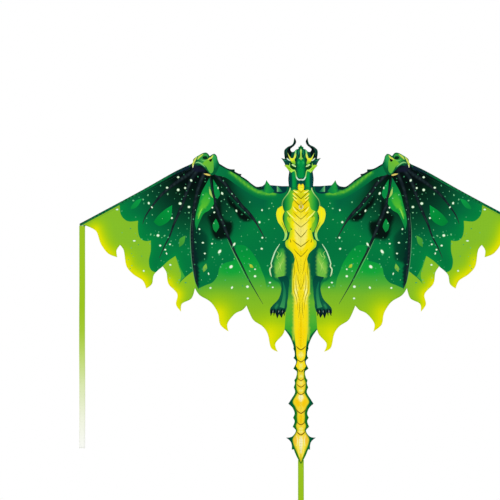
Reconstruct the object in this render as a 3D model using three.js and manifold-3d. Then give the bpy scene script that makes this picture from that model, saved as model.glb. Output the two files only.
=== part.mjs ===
// A dragon kite: a printed ripstop sail in two folding wings, a glass-fibre frame behind it,
// a jointed tail and three ribbons. Millimetres, +Z up, the printed face towards -Y.
// The origin is the centre of the tow ring on the dragon's chest.
import * as THREE from 'three';
import { mergeVertices } from 'three/addons/utils/BufferGeometryUtils.js';
import Module from 'manifold-3d';

const wasm = await Module();
wasm.setup();

// ---- driving dimensions -------------------------------------------------------------------
const GAP = 0.3; // kept between pieces that only touch
const SAIL_FRONT = 14; // y of the printed face, behind the tow ring
const SAIL_THICK = 1.6;
const SAIL_BACK = SAIL_FRONT + SAIL_THICK;
const SAIL_MID = SAIL_FRONT + SAIL_THICK / 2;

const PANEL_HALF = 8; // half width of the strip that lies over the spine
const WING_INSIDE = PANEL_HALF + 0.6; // where each wing panel starts
const NECK_SEAM_Z = 66; // straight top edge of the wings, where the neck is sewn on
const CREST_Z = 197;
const TAIL_HINGE_Z = -527;
const TAIL_TIP_Z = -812;

const SPINE_Y = 22;
const SPINE_R = 2.5;
const SPINE_TOP_Z = 186;
const SPINE_JOIN_Z = -150;
const SPINE_FOOT_Z = -503;
const FERRULE_LENGTH = 60;

const SPREADER_Z = 60;
const SPREADER_R = 2;
const PIVOT_X = 10; // the wing-fold hinges stand either side of the spine
const HUB_HALF_DEPTH = 4.4;
const HUB_HALF_HEIGHT = 9;
const KNUCKLE_HALF_HEIGHT = 5.6;
const PIN_R = 1.5;
const SOCKET_R = 3.6;
const SOCKET_END = 46; // x where each hub socket stops

const EDGE_TIP = [700, -53]; // leading edge, wing tip to wrist, as x outwards and z
const EDGE_WRIST = [349, 135];
const EDGE_INSET = 6; // the rod runs this far inside the sail's edge
const EDGE_Y = 20;
const EDGE_R = 2;
const SLEEVE_R = 3.3;
const SLEEVE_BORE_R = 2.5;
const POCKET_R = 3.8;
const POCKET_LENGTH = 22;
const CONNECTOR_R = 4.2;
const CONNECTOR_LENGTH = 34;

const LINK_R = 5.1; // the webbing ring that hinges the tail
const LINK_BORE_R = 3.9;
const LINK_WIDTH = 12;

const RIBBON_WIDTH = 18.5;
const RIBBON_THICK = 1;
const RIBBON_LENGTH = 700;
const TIP_RIBBON_X = 691.5;
const TIP_RIBBON_Z = -61;

const TOW_RING_R = 6;
const TOW_WIRE_R = 0.9;
const TOW_TAB_WIDTH = 7;

const ROUND = 32; // straight sides in a full circle

// ---- outlines: x outwards from the spine, z up ----------------------------------------------
// Each strand is one smooth run; strands meet at the sail's sharp points.
const WING_STRANDS = [
  // neck seam, the spike beside it, and the arm up to the claws
  [[WING_INSIDE, NECK_SEAM_Z], [60, NECK_SEAM_Z]],
  [[60, NECK_SEAM_Z], [97, 69]],
  [[97, 69], [103, 76], [109, 85]],
  [[109, 85], [114, 73], [122, 66]],
  [[122, 66], [140, 64], [155, 73], [192, 101], [222, 119], [258, 137]],
  // the folded claws at the wrist
  [[258, 137], [263, 150], [266, 161], [273, 168], [281, 166], [288, 161]],
  [[288, 161], [297, 171], [308, 171], [322, 164], [339, 152], [342, 141], [349, 135]],
  // leading edge to the wing tip
  [[349, 135], [400, 111], [500, 54.5], [600, 0.5], [700, -53]],
  [[700, -53], [699, -59]],
  [[699, -59], [683, -58]],
  // five flames of the trailing edge
  [[683, -58], [648, -76], [633, -116], [610, -147], [581, -159]],
  [[581, -159], [583, -137], [572, -120]],
  [[572, -120], [560, -138], [552, -186], [530, -213], [500, -233], [489, -258]],
  [[489, -258], [471, -243], [464, -213], [437, -188]],
  [[437, -188], [425, -208], [419, -243], [391, -275], [395, -308], [379, -331]],
  [[379, -331], [376, -306], [346, -289], [335, -257]],
  [[335, -257], [320, -279], [285, -301], [263, -335], [255, -372], [229, -394]],
  [[229, -394], [232, -368], [209, -338], [185, -326], [172, -312]],
  [[172, -312], [160, -341], [148, -360], [121, -378], [105, -402], [95, -444], [73, -458]],
  [[73, -458], [80, -443], [79, -428], [58, -405], [51, -388]],
  // the dragon's tail as far as its hinge
  [[51, -388], [35, -411], [24, -438], [24, -448]],
  [[24, -448], [20, -459], [20, -471], [24, -477]],
  [[24, -477], [16, -486], [16, -495], [24, -511]],
  [[24, -511], [14, -519], [13, TAIL_HINGE_Z + 1]],
  [[13, TAIL_HINGE_Z + 1], [WING_INSIDE, TAIL_HINGE_Z + 1]],
];

const HEAD_STRANDS = [
  [[WING_INSIDE, NECK_SEAM_Z + 2 * GAP], [38, NECK_SEAM_Z + 2 * GAP]],
  [[38, NECK_SEAM_Z + 2 * GAP], [40, 90], [37, 112]],
  [[37, 112], [45, 123], [53, 131]],
  [[53, 131], [50, 133], [55, 144], [63, 155]],
  [[63, 155], [56, 153], [51, 152]],
  // horn, outside up to its point and inside back to the brow
  [[51, 152], [53, 177], [43, 189], [26, 199], [21, 220]],
  [[21, 220], [15, 207], [20, 195], [33, 183], [29, 174]],
  [[29, 174], [22, 175], [16, 181], [WING_INSIDE, 183]],
];

const TAIL_STRANDS = [
  [[0, TAIL_HINGE_Z - 1], [13, TAIL_HINGE_Z - 1]],
  [[13, TAIL_HINGE_Z - 1], [16, -540], [21, -547]],
  [[21, -547], [19, -558], [23, -570]],
  [[23, -570], [19, -580], [20, -590], [31, -608], [40, -622]],
  [[40, -622], [27, -634], [20, -652], [25, -666]],
  [[25, -666], [20, -678], [26, -695]],
  [[26, -695], [16, -707], [24, -722], [34, -728], [47, -729]],
  [[47, -729], [34, -740], [29, -753], [29, -767]],
  [[29, -767], [23, -766]],
  [[23, -766], [13, -790], [0, TAIL_TIP_Z]],
];

// ---- helpers ----------------------------------------------------------------------------------
const group = new THREE.Group();
const X_AXIS = new THREE.Vector3(1, 0, 0);
const Y_AXIS = new THREE.Vector3(0, 1, 0);
const Z_AXIS = new THREE.Vector3(0, 0, 1);

const LIME = 0x96c81e;
const DEEP_GREEN = 0x00683a;
const BELLY_YELLOW = 0xffd90a;
const GLASS_FIBRE = 0x17181a;
const BLACK_VINYL = 0x101112;
const WEBBING = 0x1d5a34;

function add(name, geometry, colour, roughness, metalness = 0) {
  const material = new THREE.MeshStandardMaterial({ color: colour, roughness, metalness });
  const mesh = new THREE.Mesh(geometry, material);
  mesh.name = name;
  group.add(mesh);
}

// The points along smooth strands, with the outward x turned to the given side (-1 left, 1 right).
function outlinePoints(strands, side) {
  const points = [];
  for (const strand of strands) {
    const knots = strand.map(([x, z]) => new THREE.Vector2(side * x, z));
    const steps = knots.length === 2 ? 1 : 3 * (knots.length - 1);
    points.push(...new THREE.SplineCurve(knots).getPoints(steps).slice(0, -1));
  }
  points.push(new THREE.Vector2(side * strands.at(-1).at(-1)[0], strands.at(-1).at(-1)[1]));
  return points;
}

// A flat panel in the XZ plane, from its front face back.
function panel(shape, front, thickness) {
  const geometry = new THREE.ExtrudeGeometry(shape, { depth: thickness, bevelEnabled: false });
  geometry.rotateX(Math.PI / 2);
  return geometry.translate(0, front + thickness, 0);
}

// A profile drawn in y and z, pulled along x and centred on it.
function pulledAlongX(shape, width) {
  const options = { depth: width, bevelEnabled: false, curveSegments: ROUND / 2 };
  const geometry = new THREE.ExtrudeGeometry(shape, options);
  geometry.applyMatrix4(new THREE.Matrix4().makeBasis(Y_AXIS, Z_AXIS, X_AXIS));
  return geometry.translate(-width / 2, 0, 0);
}

// A profile drawn in x and y, pulled up from the given height.
function pulledAlongZ(shape, bottom, height) {
  const options = { depth: height, bevelEnabled: false, curveSegments: ROUND / 2 };
  return new THREE.ExtrudeGeometry(shape, options).translate(0, 0, bottom);
}

function rectangle(x0, y0, x1, y1) {
  return new THREE.Shape([
    new THREE.Vector2(x0, y0),
    new THREE.Vector2(x1, y0),
    new THREE.Vector2(x1, y1),
    new THREE.Vector2(x0, y1),
  ]);
}

function circle(x, y, radius) {
  return new THREE.Shape().absarc(x, y, radius, 0, 2 * Math.PI);
}

// A solid turned round the line between two points; the profile lists [distance along, radius].
function turned(from, to, profile) {
  const geometry = new THREE.LatheGeometry(profile.map(([along, r]) => new THREE.Vector2(r, along)), ROUND);
  const direction = new THREE.Vector3().subVectors(to, from).normalize();
  geometry.applyQuaternion(new THREE.Quaternion().setFromUnitVectors(Y_AXIS, direction));
  return geometry.translate(from.x, from.y, from.z);
}

function rod(from, to, radius) {
  const length = from.distanceTo(to);
  return turned(from, to, [[0, 0], [0, radius], [length, radius], [length, 0]]);
}

function tube(from, to, radius, bore) {
  const length = from.distanceTo(to);
  return turned(from, to, [[0, bore], [0, radius], [length, radius], [length, bore], [0, bore]]);
}

// A sewn pocket: a cup over a rod's end, closed at the far end.
function pocket(mouth, end, radius, bore) {
  const length = mouth.distanceTo(end);
  const floor = length - 2;
  const outside = [[0, bore], [0, radius], [length, radius], [length, 0]];
  return turned(mouth, end, [...outside, [floor, 0], [floor, bore], [0, bore]]);
}

function asManifold(geometry) {
  const bare = geometry.clone();
  bare.deleteAttribute('normal');
  bare.deleteAttribute('uv');
  const merged = mergeVertices(bare, 1e-4);
  return new wasm.Manifold(new wasm.Mesh({
    numProp: 3,
    vertProperties: new Float32Array(merged.attributes.position.array),
    triVerts: new Uint32Array(merged.index.array),
  }));
}

// The first geometries joined, less the ones to remove.
function carved(kept, removed) {
  let solid = asManifold(kept[0]);
  for (const geometry of kept.slice(1)) {
    solid = solid.add(asManifold(geometry));
  }
  for (const geometry of removed) {
    solid = solid.subtract(asManifold(geometry));
  }
  const mesh = solid.getMesh();
  const geometry = new THREE.BufferGeometry();
  geometry.setAttribute('position', new THREE.BufferAttribute(mesh.vertProperties, 3));
  geometry.setIndex(new THREE.BufferAttribute(mesh.triVerts, 1));
  geometry.computeVertexNormals();
  return geometry;
}

const onSpine = (z) => new THREE.Vector3(0, SPINE_Y, z);

// A point on the leading-edge rod's line, from 0 at the wing tip to 1 at the wrist.
function onEdge(side, share) {
  const tip = new THREE.Vector2(...EDGE_TIP);
  const wrist = new THREE.Vector2(...EDGE_WRIST);
  const along = new THREE.Vector2().subVectors(wrist, tip);
  const inwards = new THREE.Vector2(-along.y, along.x).normalize().multiplyScalar(EDGE_INSET);
  const spot = tip.addScaledVector(along, share).add(inwards);
  return new THREE.Vector3(side * spot.x, EDGE_Y, spot.y);
}

// ---- spine: rods, ferrule, pockets, keepers and the strip of sail over them --------------------
function buildSpine() {
  const upper = rod(onSpine(SPINE_JOIN_Z + GAP), onSpine(SPINE_TOP_Z), SPINE_R);
  add('spine_rod_upper', upper, GLASS_FIBRE, 0.35);
  const lower = rod(onSpine(SPINE_FOOT_Z), onSpine(SPINE_JOIN_Z - GAP), SPINE_R);
  add('spine_rod_lower', lower, GLASS_FIBRE, 0.35);
  const ferruleFoot = onSpine(SPINE_JOIN_Z - FERRULE_LENGTH / 2);
  const ferruleTop = onSpine(SPINE_JOIN_Z + FERRULE_LENGTH / 2);
  const ferrule = tube(ferruleFoot, ferruleTop, SPINE_R + 0.9, SPINE_R + GAP);
  add('spine_ferrule', ferrule, 0xc9ccd0, 0.3, 0.9);
  const bore = SPINE_R + GAP;
  for (const [place, end, way] of [['nose', SPINE_TOP_Z, 1], ['tail', SPINE_FOOT_Z, -1]]) {
    const cup = pocket(onSpine(end - way * 20), onSpine(end + way * 3), bore + 1.2, bore);
    add(`${place}_pocket`, cup, WEBBING, 0.9);
  }

  const keeperHeights = { neck: 120, belly: -60, hip: -260, tail: -420 };
  for (const [place, z] of Object.entries(keeperHeights)) {
    const outline = new THREE.Shape();
    outline.moveTo(-bore - 1, SAIL_BACK + GAP);
    outline.lineTo(bore + 1, SAIL_BACK + GAP);
    outline.absarc(0, SPINE_Y, bore + 1, 0, Math.PI);
    outline.holes.push(circle(0, SPINE_Y, bore));
    add(`spine_keeper_${place}`, pulledAlongZ(outline, z - 6, 12), WEBBING, 0.9);
  }

  const strip = new THREE.Shape([
    new THREE.Vector2(-PANEL_HALF, TAIL_HINGE_Z + 1),
    new THREE.Vector2(PANEL_HALF, TAIL_HINGE_Z + 1),
    new THREE.Vector2(PANEL_HALF, CREST_Z - 13),
    new THREE.Vector2(0, CREST_Z),
    new THREE.Vector2(-PANEL_HALF, CREST_Z - 13),
  ]);
  strip.holes.push(linkSlot(1));
  add('spine_panel', panel(strip, SAIL_FRONT, SAIL_THICK), BELLY_YELLOW, 0.7);
}

// ---- tail link: a webbing ring through a slot in each panel -------------------------------------
// The slot that the link passes through, above the hinge (1) or below it (-1).
function linkSlot(way) {
  const near = TAIL_HINGE_Z + way * (LINK_BORE_R - 0.5);
  const far = TAIL_HINGE_Z + way * (LINK_R + 0.5);
  const half = LINK_WIDTH / 2 + 0.4;
  return rectangle(-half, Math.min(near, far), half, Math.max(near, far));
}

function buildTail() {
  const link = circle(SAIL_MID, TAIL_HINGE_Z, LINK_R);
  link.holes.push(circle(SAIL_MID, TAIL_HINGE_Z, LINK_BORE_R));
  add('tail_link', pulledAlongX(link, LINK_WIDTH), WEBBING, 0.9);

  const right = outlinePoints(TAIL_STRANDS, 1).slice(1);
  const left = right.slice(0, -1).map((p) => new THREE.Vector2(-p.x, p.y)).reverse();
  const tail = new THREE.Shape([...right, ...left]);
  tail.holes.push(linkSlot(-1));
  add('tail_panel', panel(tail, SAIL_FRONT, SAIL_THICK), BELLY_YELLOW, 0.7);
  add('centre_ribbon', ribbon(0, TAIL_TIP_Z - 2), LIME, 0.6);
}

function ribbon(x, top) {
  const half = RIBBON_WIDTH / 2;
  const shape = rectangle(x - half, top - RIBBON_LENGTH, x + half, top);
  return panel(shape, SAIL_MID - RIBBON_THICK / 2, RIBBON_THICK);
}

// ---- hub: a moulded block on the spine with a pivot pin each side -------------------------------
function buildHub() {
  const stadium = new THREE.Shape();
  stadium.moveTo(-PIVOT_X, SPINE_Y - HUB_HALF_DEPTH);
  stadium.lineTo(PIVOT_X, SPINE_Y - HUB_HALF_DEPTH);
  stadium.absarc(PIVOT_X, SPINE_Y, HUB_HALF_DEPTH, -Math.PI / 2, Math.PI / 2);
  stadium.absarc(-PIVOT_X, SPINE_Y, HUB_HALF_DEPTH, Math.PI / 2, 1.5 * Math.PI);
  const block = pulledAlongZ(stadium, SPREADER_Z - HUB_HALF_HEIGHT, 2 * HUB_HALF_HEIGHT);
  const bore = pulledAlongZ(circle(0, SPINE_Y, SPINE_R + GAP), SPREADER_Z - 20, 40);
  const removed = [bore];
  for (const side of [-1, 1]) {
    const window = rectangle(side * 5.2, SPINE_Y - 10, side * 20, SPINE_Y + 10);
    const height = KNUCKLE_HALF_HEIGHT + GAP;
    removed.push(pulledAlongZ(window, SPREADER_Z - height, 2 * height));
    removed.push(pulledAlongZ(circle(side * PIVOT_X, SPINE_Y, PIN_R + GAP), SPREADER_Z - 20, 40));
  }
  add('hub_body', carved([block], removed), BLACK_VINYL, 0.5);

  for (const [name, z] of [['hub_ring_upper', 1], ['hub_ring_lower', -1]]) {
    const near = SPREADER_Z + z * (HUB_HALF_HEIGHT + GAP);
    const far = near + z * 5;
    const [foot, top] = [Math.min(near, far), Math.max(near, far)];
    add(name, tube(onSpine(foot), onSpine(top), SPINE_R + 2, SPINE_R + GAP), 0x2a2c2e, 0.7);
  }
}

// ---- tow tab and ring on the chest ---------------------------------------------------------------
function buildTow() {
  const eyeBore = TOW_WIRE_R + 1.6;
  const eye = eyeBore + 0.9;
  const base = SAIL_FRONT - GAP - 1.3;
  const turn = Math.asin(1 / eye);
  const tab = new THREE.Shape();
  tab.moveTo(base, TOW_RING_R - 12);
  tab.lineTo(SAIL_FRONT - GAP, TOW_RING_R - 12);
  tab.lineTo(SAIL_FRONT - GAP, TOW_RING_R + 12);
  tab.lineTo(base, TOW_RING_R + 12);
  tab.lineTo(base, TOW_RING_R + 1);
  tab.absarc(0, TOW_RING_R, eye, turn, 2 * Math.PI - turn);
  tab.lineTo(base, TOW_RING_R - 1);
  tab.holes.push(circle(0, TOW_RING_R, eyeBore));
  add('tow_tab', pulledAlongX(tab, TOW_TAB_WIDTH), BELLY_YELLOW, 0.85);

  const ring = new THREE.TorusGeometry(TOW_RING_R, TOW_WIRE_R, 12, ROUND);
  ring.rotateX(Math.PI / 2);
  add('tow_ring', ring, 0xd0d2d4, 0.25, 1);
}

// ---- one wing: its panels, leading edge, spreader and ribbon ---------------------------------------
function buildWing(name, side) {
  const wing = new THREE.Shape(outlinePoints(WING_STRANDS, side));
  add(`${name}_wing_panel`, panel(wing, SAIL_FRONT, SAIL_THICK), DEEP_GREEN, 0.7);
  const head = new THREE.Shape(outlinePoints(HEAD_STRANDS, side));
  add(`${name}_head_panel`, panel(head, SAIL_FRONT, SAIL_THICK), DEEP_GREEN, 0.7);
  buildLeadingEdge(name, side);
  buildSpreader(name, side);
  add(`${name}_ribbon`, ribbon(side * TIP_RIBBON_X, TIP_RIBBON_Z - 1), LIME, 0.6);
}

function buildLeadingEdge(name, side) {
  const length = onEdge(side, 0).distanceTo(onEdge(side, 1));
  const place = (mm) => onEdge(side, mm / length);
  const joint = connectorPlace(side, length);
  const start = 10; // the tip pocket closes here
  const end = length - 4; // and the wrist pocket here
  add(`${name}_edge_rod`, rod(place(start + 3), place(end - 3), EDGE_R), GLASS_FIBRE, 0.35);
  const tipPocket = pocket(place(start + POCKET_LENGTH), place(start), POCKET_R, SLEEVE_BORE_R);
  add(`${name}_tip_pocket`, tipPocket, WEBBING, 0.9);
  const wristPocket = pocket(place(end - POCKET_LENGTH), place(end), POCKET_R, SLEEVE_BORE_R);
  add(`${name}_wrist_pocket`, wristPocket, WEBBING, 0.9);
  const half = CONNECTOR_LENGTH / 2 + 2;
  const outer = tube(place(start + POCKET_LENGTH + 1), place(joint - half), SLEEVE_R, SLEEVE_BORE_R);
  add(`${name}_edge_sleeve_outer`, outer, DEEP_GREEN, 0.75);
  const inner = tube(place(joint + half), place(end - POCKET_LENGTH - 1), SLEEVE_R, SLEEVE_BORE_R);
  add(`${name}_edge_sleeve_inner`, inner, DEEP_GREEN, 0.75);

  const patch = new THREE.Shape([
    new THREE.Vector2(side * 696, -54.5),
    new THREE.Vector2(side * 694, -57),
    new THREE.Vector2(side * 684, -56.5),
    new THREE.Vector2(side * 668, -44),
    new THREE.Vector2(side * 672, -41),
  ]);
  add(`${name}_tip_patch`, panel(patch, SAIL_BACK + GAP, 0.2), WEBBING, 0.9);
}

// How far along the leading edge, from the wing tip, the spreader meets the rod.
function connectorPlace(side, length) {
  const tip = onEdge(side, 0);
  const wrist = onEdge(side, 1);
  return length * (SPREADER_Z - tip.z) / (wrist.z - tip.z);
}

function buildSpreader(name, side) {
  const length = onEdge(side, 0).distanceTo(onEdge(side, 1));
  const joint = connectorPlace(side, length);
  const middle = onEdge(side, joint / length);
  const at = (x) => new THREE.Vector3(side * x, SPINE_Y, SPREADER_Z);
  const outside = Math.abs(middle.x);

  const rodStart = PIVOT_X + 8;
  const rodEnd = outside - 11; // clear of the slanting leading-edge rod
  add(`${name}_spreader`, rod(at(rodStart), at(rodEnd), SPREADER_R), GLASS_FIBRE, 0.35);

  const besideJoint = (mm) => onEdge(side, (joint + mm) / length);
  const clamp = rod(besideJoint(-CONNECTOR_LENGTH / 2), besideJoint(CONNECTOR_LENGTH / 2), CONNECTOR_R);
  const clampBore = rod(besideJoint(-CONNECTOR_LENGTH), besideJoint(CONNECTOR_LENGTH), EDGE_R + GAP);
  const socket = rod(at(outside - 34), at(outside), SOCKET_R);
  const socketBore = rod(at(outside - 50), at(rodEnd + GAP), SPREADER_R + GAP);
  add(`${name}_edge_connector`, carved([clamp, socket], [clampBore, socketBore]), BLACK_VINYL, 0.5);

  const roundKnuckle = circle(side * PIVOT_X, SPINE_Y, HUB_HALF_DEPTH);
  const knuckle = pulledAlongZ(roundKnuckle, SPREADER_Z - KNUCKLE_HALF_HEIGHT, 2 * KNUCKLE_HALF_HEIGHT);
  const arm = rod(at(PIVOT_X + 1), at(SOCKET_END), SOCKET_R);
  const pinBore = pulledAlongZ(circle(side * PIVOT_X, SPINE_Y, PIN_R + GAP), SPREADER_Z - 20, 40);
  const armBore = rod(at(rodStart - GAP), at(SOCKET_END + 10), SPREADER_R + GAP);
  add(`${name}_hub_arm`, carved([knuckle, arm], [pinBore, armBore]), BLACK_VINYL, 0.5);

  const pinAt = (z) => new THREE.Vector3(side * PIVOT_X, SPINE_Y, z);
  const pin = rod(pinAt(SPREADER_Z - HUB_HALF_HEIGHT), pinAt(SPREADER_Z + HUB_HALF_HEIGHT), PIN_R);
  add(`${name}_hub_pin`, pin, 0xb8bcc0, 0.3, 1);
}

buildSpine();
buildHub();
buildTow();
buildTail();
for (const [name, side] of [['left', -1], ['right', 1]]) {
  buildWing(name, side);
}

export default group;
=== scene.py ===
"""The looks of a dragon kite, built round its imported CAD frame.

Artwork is drawn on one half, in millimetres: x outwards from the spine, z up. Each sail is one
sheet cut along the artwork's edges, so that the print stays crisp at any distance, and the other
half mirrors it.
"""
import math
import random

import bpy
import numpy as np
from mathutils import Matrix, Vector
from mathutils.geometry import delaunay_2d_cdt


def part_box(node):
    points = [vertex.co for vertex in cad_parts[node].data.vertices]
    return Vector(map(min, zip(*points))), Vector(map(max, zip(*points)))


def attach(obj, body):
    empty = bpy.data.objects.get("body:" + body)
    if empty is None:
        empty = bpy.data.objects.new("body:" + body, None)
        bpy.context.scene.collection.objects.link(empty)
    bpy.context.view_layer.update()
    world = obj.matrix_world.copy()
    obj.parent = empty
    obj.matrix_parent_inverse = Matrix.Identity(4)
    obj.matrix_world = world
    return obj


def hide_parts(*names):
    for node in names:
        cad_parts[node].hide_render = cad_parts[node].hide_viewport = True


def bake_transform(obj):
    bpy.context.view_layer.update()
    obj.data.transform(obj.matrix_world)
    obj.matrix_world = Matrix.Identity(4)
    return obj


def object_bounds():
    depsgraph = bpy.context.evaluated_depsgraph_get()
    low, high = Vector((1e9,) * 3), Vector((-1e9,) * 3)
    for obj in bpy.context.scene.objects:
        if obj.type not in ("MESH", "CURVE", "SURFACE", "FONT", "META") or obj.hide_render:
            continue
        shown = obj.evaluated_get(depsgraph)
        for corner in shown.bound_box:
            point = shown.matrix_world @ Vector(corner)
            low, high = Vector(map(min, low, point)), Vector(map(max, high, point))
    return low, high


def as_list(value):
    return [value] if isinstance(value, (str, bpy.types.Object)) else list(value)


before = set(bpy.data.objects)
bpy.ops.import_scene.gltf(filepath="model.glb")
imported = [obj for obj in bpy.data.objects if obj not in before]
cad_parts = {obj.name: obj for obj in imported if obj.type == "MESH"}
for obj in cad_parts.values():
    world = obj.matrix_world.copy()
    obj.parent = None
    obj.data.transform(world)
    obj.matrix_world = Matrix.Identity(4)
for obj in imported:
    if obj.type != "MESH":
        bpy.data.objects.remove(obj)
cad_low, cad_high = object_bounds()
MM = 0.001

# ---- sizes shared with the CAD, in millimetres ---------------------------------------------------
panel_low, panel_high = (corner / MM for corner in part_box("tail_panel"))
SAIL_Y = (panel_low.y + panel_high.y) / 2
TAIL_HINGE_Z = panel_high.z + 1
TAIL_TIP_Z = panel_low.z
FRONT_Y = SAIL_Y - 0.25
BACK_Y = SAIL_Y + 0.15
SPINE_Y = 22
SPINE_R = 2.5
SPREADER_Z = 60
CREST_Z = 197
KEEPER_HEIGHTS = {"neck": 120, "belly": -60, "hip": -260, "tail": -420}
NECK_SEAM_Z = 66
TAIL_LAP = 7
NECK_LAP = 5
EDGE_TIP = np.array((700.0, -53.0))
EDGE_WRIST = np.array((349.0, 135.0))
EDGE_ROD_Y = 20
EDGE_INSET = 6
RIBBON_WIDTH = 18.5
RIBBON_TACK = (691.5, -57.4)
RIPSTOP_PITCH = 0.005  # metres between the thicker threads
SIDES = {"left": -1, "right": 1}


# ---- camera and light ----------------------------------------------------------------------------
def make_camera():
    """Straight in front of the kite, which the photo shows a little to the right of its middle."""
    aim = Vector((-0.161, SAIL_Y * MM, -0.136))
    away = 4.39
    data = bpy.data.cameras.new("camera")
    data.lens = 100  # a long view, so that the kite shows flat
    camera = bpy.data.objects.new("camera", data)
    bpy.context.collection.objects.link(camera)
    camera.location = aim - Vector((0, away, 0))
    camera.rotation_euler = (math.pi / 2, 0, 0)
    bpy.context.scene.camera = camera


def make_studio():
    world = bpy.data.worlds.new("studio")
    bpy.context.scene.world = world
    world.use_nodes = True
    sky = world.node_tree.nodes["Background"]
    sky.inputs["Color"].default_value = (1, 1, 1, 1)
    sky.inputs["Strength"].default_value = 1.0
    bpy.context.scene.view_settings.view_transform = "Standard"

    key = bpy.data.lights.new("key", "AREA")
    key.energy = 22
    key.size = 2.5
    lamp = bpy.data.objects.new("key", key)
    bpy.context.collection.objects.link(lamp)
    lamp.location = (-2.2, -3.0, 2.4)
    lamp.rotation_euler = Vector((2.2, 3.0, -2.5)).to_track_quat("-Z", "Y").to_euler()

    under = (0, 0, cad_low.z - 0.09)
    bpy.ops.mesh.primitive_circle_add(vertices=96, radius=1.9, fill_type="NGON", location=under)
    floor = bpy.context.object
    floor.name = "floor"
    pale = bpy.data.materials.new("floor")
    pale.use_nodes = True
    shader = pale.node_tree.nodes["Principled BSDF"]
    shader.inputs["Base Color"].default_value = (0.8, 0.8, 0.8, 1)
    shader.inputs["Roughness"].default_value = 0.9
    floor.data.materials.append(pale)


# ---- outlines ------------------------------------------------------------------------------------
def curve(knots, steps=6):
    """A smooth run through the knots, both ends included."""
    p = np.array(knots, float)
    if len(p) == 2:
        return p
    before = np.vstack((p[:1], p[:-2]))
    after = np.vstack((p[2:], p[-1:]))
    run = []
    for a, b, c, d in zip(before, p[:-1], p[1:], after):
        leave, arrive = (c - a) / 2, (d - b) / 2
        for t in np.arange(steps) / steps:
            cubic = 2 * b - 2 * c + leave + arrive
            square = 3 * c - 3 * b - 2 * leave - arrive
            run.append(cubic * t**3 + square * t**2 + leave * t + b)
    return np.vstack((run, p[-1:]))


def run(start, *strands):
    """Smooth strands from the start on; each begins at the sharp point where the one before ends."""
    curves = []
    for strand in strands:
        curves.append(curve([start, *strand])[:-1])
        start = strand[-1]
    return np.vstack((*curves, [start]))


def outline(*strands):
    """A closed run; its first strand begins where its last one ends."""
    return run(strands[-1][-1], *strands)[:-1]


def blob(*knots):
    """A closed outline, smooth all round."""
    steps = 6
    return curve([knots[-1], *knots, knots[0], knots[1]], steps)[steps : -steps - 1]


def centred(*knots):
    """A smooth closed outline, the same on both sides of the spine that its end knots are on."""
    return blob(*knots, *[(-x, z) for x, z in knots[-2:0:-1]])


def stroke(knots, widths, steps=5):
    """A line that swells and tapers, as a closed outline; widths has one value for each knot."""
    path = curve(knots, steps)
    along = np.linspace(0, 1, len(path))
    half = np.interp(along, np.linspace(0, 1, len(widths)), widths) / 2
    heading = np.gradient(path, axis=0)
    normal = np.stack((-heading[:, 1], heading[:, 0]), 1) / np.linalg.norm(heading, axis=1)[:, None]
    return np.vstack((path + normal * half[:, None], (path - normal * half[:, None])[::-1]))


def groove(point, end, bend, widths):
    """Half of a V across the body: from its end to its point on the spine."""
    x, z = end
    return stroke([end, (x * 0.55, point + (z - point) * bend), (0, point)], widths)


def ellipse(x, z, long, short, turn=0, sides=10):
    """A spot of that length and width, turned by that many degrees."""
    a = np.linspace(0, 2 * math.pi, sides, endpoint=False)
    c, s = math.cos(math.radians(turn)), math.sin(math.radians(turn))
    u, v = long / 2 * np.cos(a), short / 2 * np.sin(a)
    return np.stack((x + u * c - v * s, z + u * s + v * c), 1)


def mirrored(path):
    return path * (-1, 1)


def inside(points, loop):
    """Which points are inside the closed loop."""
    low, high = loop.min(0), loop.max(0)
    hit = np.zeros(len(points), bool)
    near = np.flatnonzero(((points >= low) & (points <= high)).all(1))
    if not len(near):
        return hit
    x, z = points[near, 0][:, None], points[near, 1][:, None]
    a, b = loop, np.roll(loop, -1, 0)
    crosses = (a[:, 1] > z) != (b[:, 1] > z)
    rise = np.where(b[:, 1] == a[:, 1], 1e-9, b[:, 1] - a[:, 1])
    at = a[:, 0] + (z - a[:, 1]) * (b[:, 0] - a[:, 0]) / rise
    hit[near] = ((crosses & (x < at)).sum(1) % 2).astype(bool)
    return hit


def distance(points, path, closed=False):
    """How far each point is from the path."""
    starts = path if closed else path[:-1]
    ends = np.roll(path, -1, 0) if closed else path[1:]
    best = np.full(len(points), np.inf)
    for p, q in zip(starts, ends):
        d = q - p
        t = np.clip((points - p) @ d / max(d @ d, 1e-9), 0, 1)
        best = np.minimum(best, np.linalg.norm(points - p - t[:, None] * d, axis=1))
    return best


# ---- paints: points in; red, green, blue (0-255) and cover (0-1) out -----------------------------
def ramp(t, stops):
    """Colours by value; a stop is (value, colour) and a colour may end with its cover."""
    at = [stop[0] for stop in stops]
    colours = np.array([(*c, 1)[:4] for _, c in stops], float)
    return np.stack([np.interp(t, at, colours[:, k]) for k in range(4)], 1)


def flat(*colour):
    return lambda p: ramp(p[:, 1], [(0, colour)])


def by_height(*stops):
    return lambda p: ramp(p[:, 1], stops)


def by_reach(*stops):
    """By distance from the spine."""
    return lambda p: ramp(np.abs(p[:, 0]), stops)


def around(x, z, *stops):
    return lambda p: ramp(np.hypot(p[:, 0] - x, p[:, 1] - z), stops)


def beside(path, *stops):
    return lambda p: ramp(distance(p, path), stops)


def between(start, end, *stops):
    """Along the line from start, 0, to end, 1."""
    a, d = np.array(start, float), np.subtract(end, start).astype(float)
    return lambda p: ramp((p - a) @ d / (d @ d), stops)


def layer(shape, paint, soft=0):
    """Part of a print: a closed outline and its paint, fading at its edge over soft millimetres."""
    return {"shape": shape, "paint": paint, "soft": soft}


BARK = (128, 98, 10)
RIBBON_LIME = (156, 197, 30)

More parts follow.
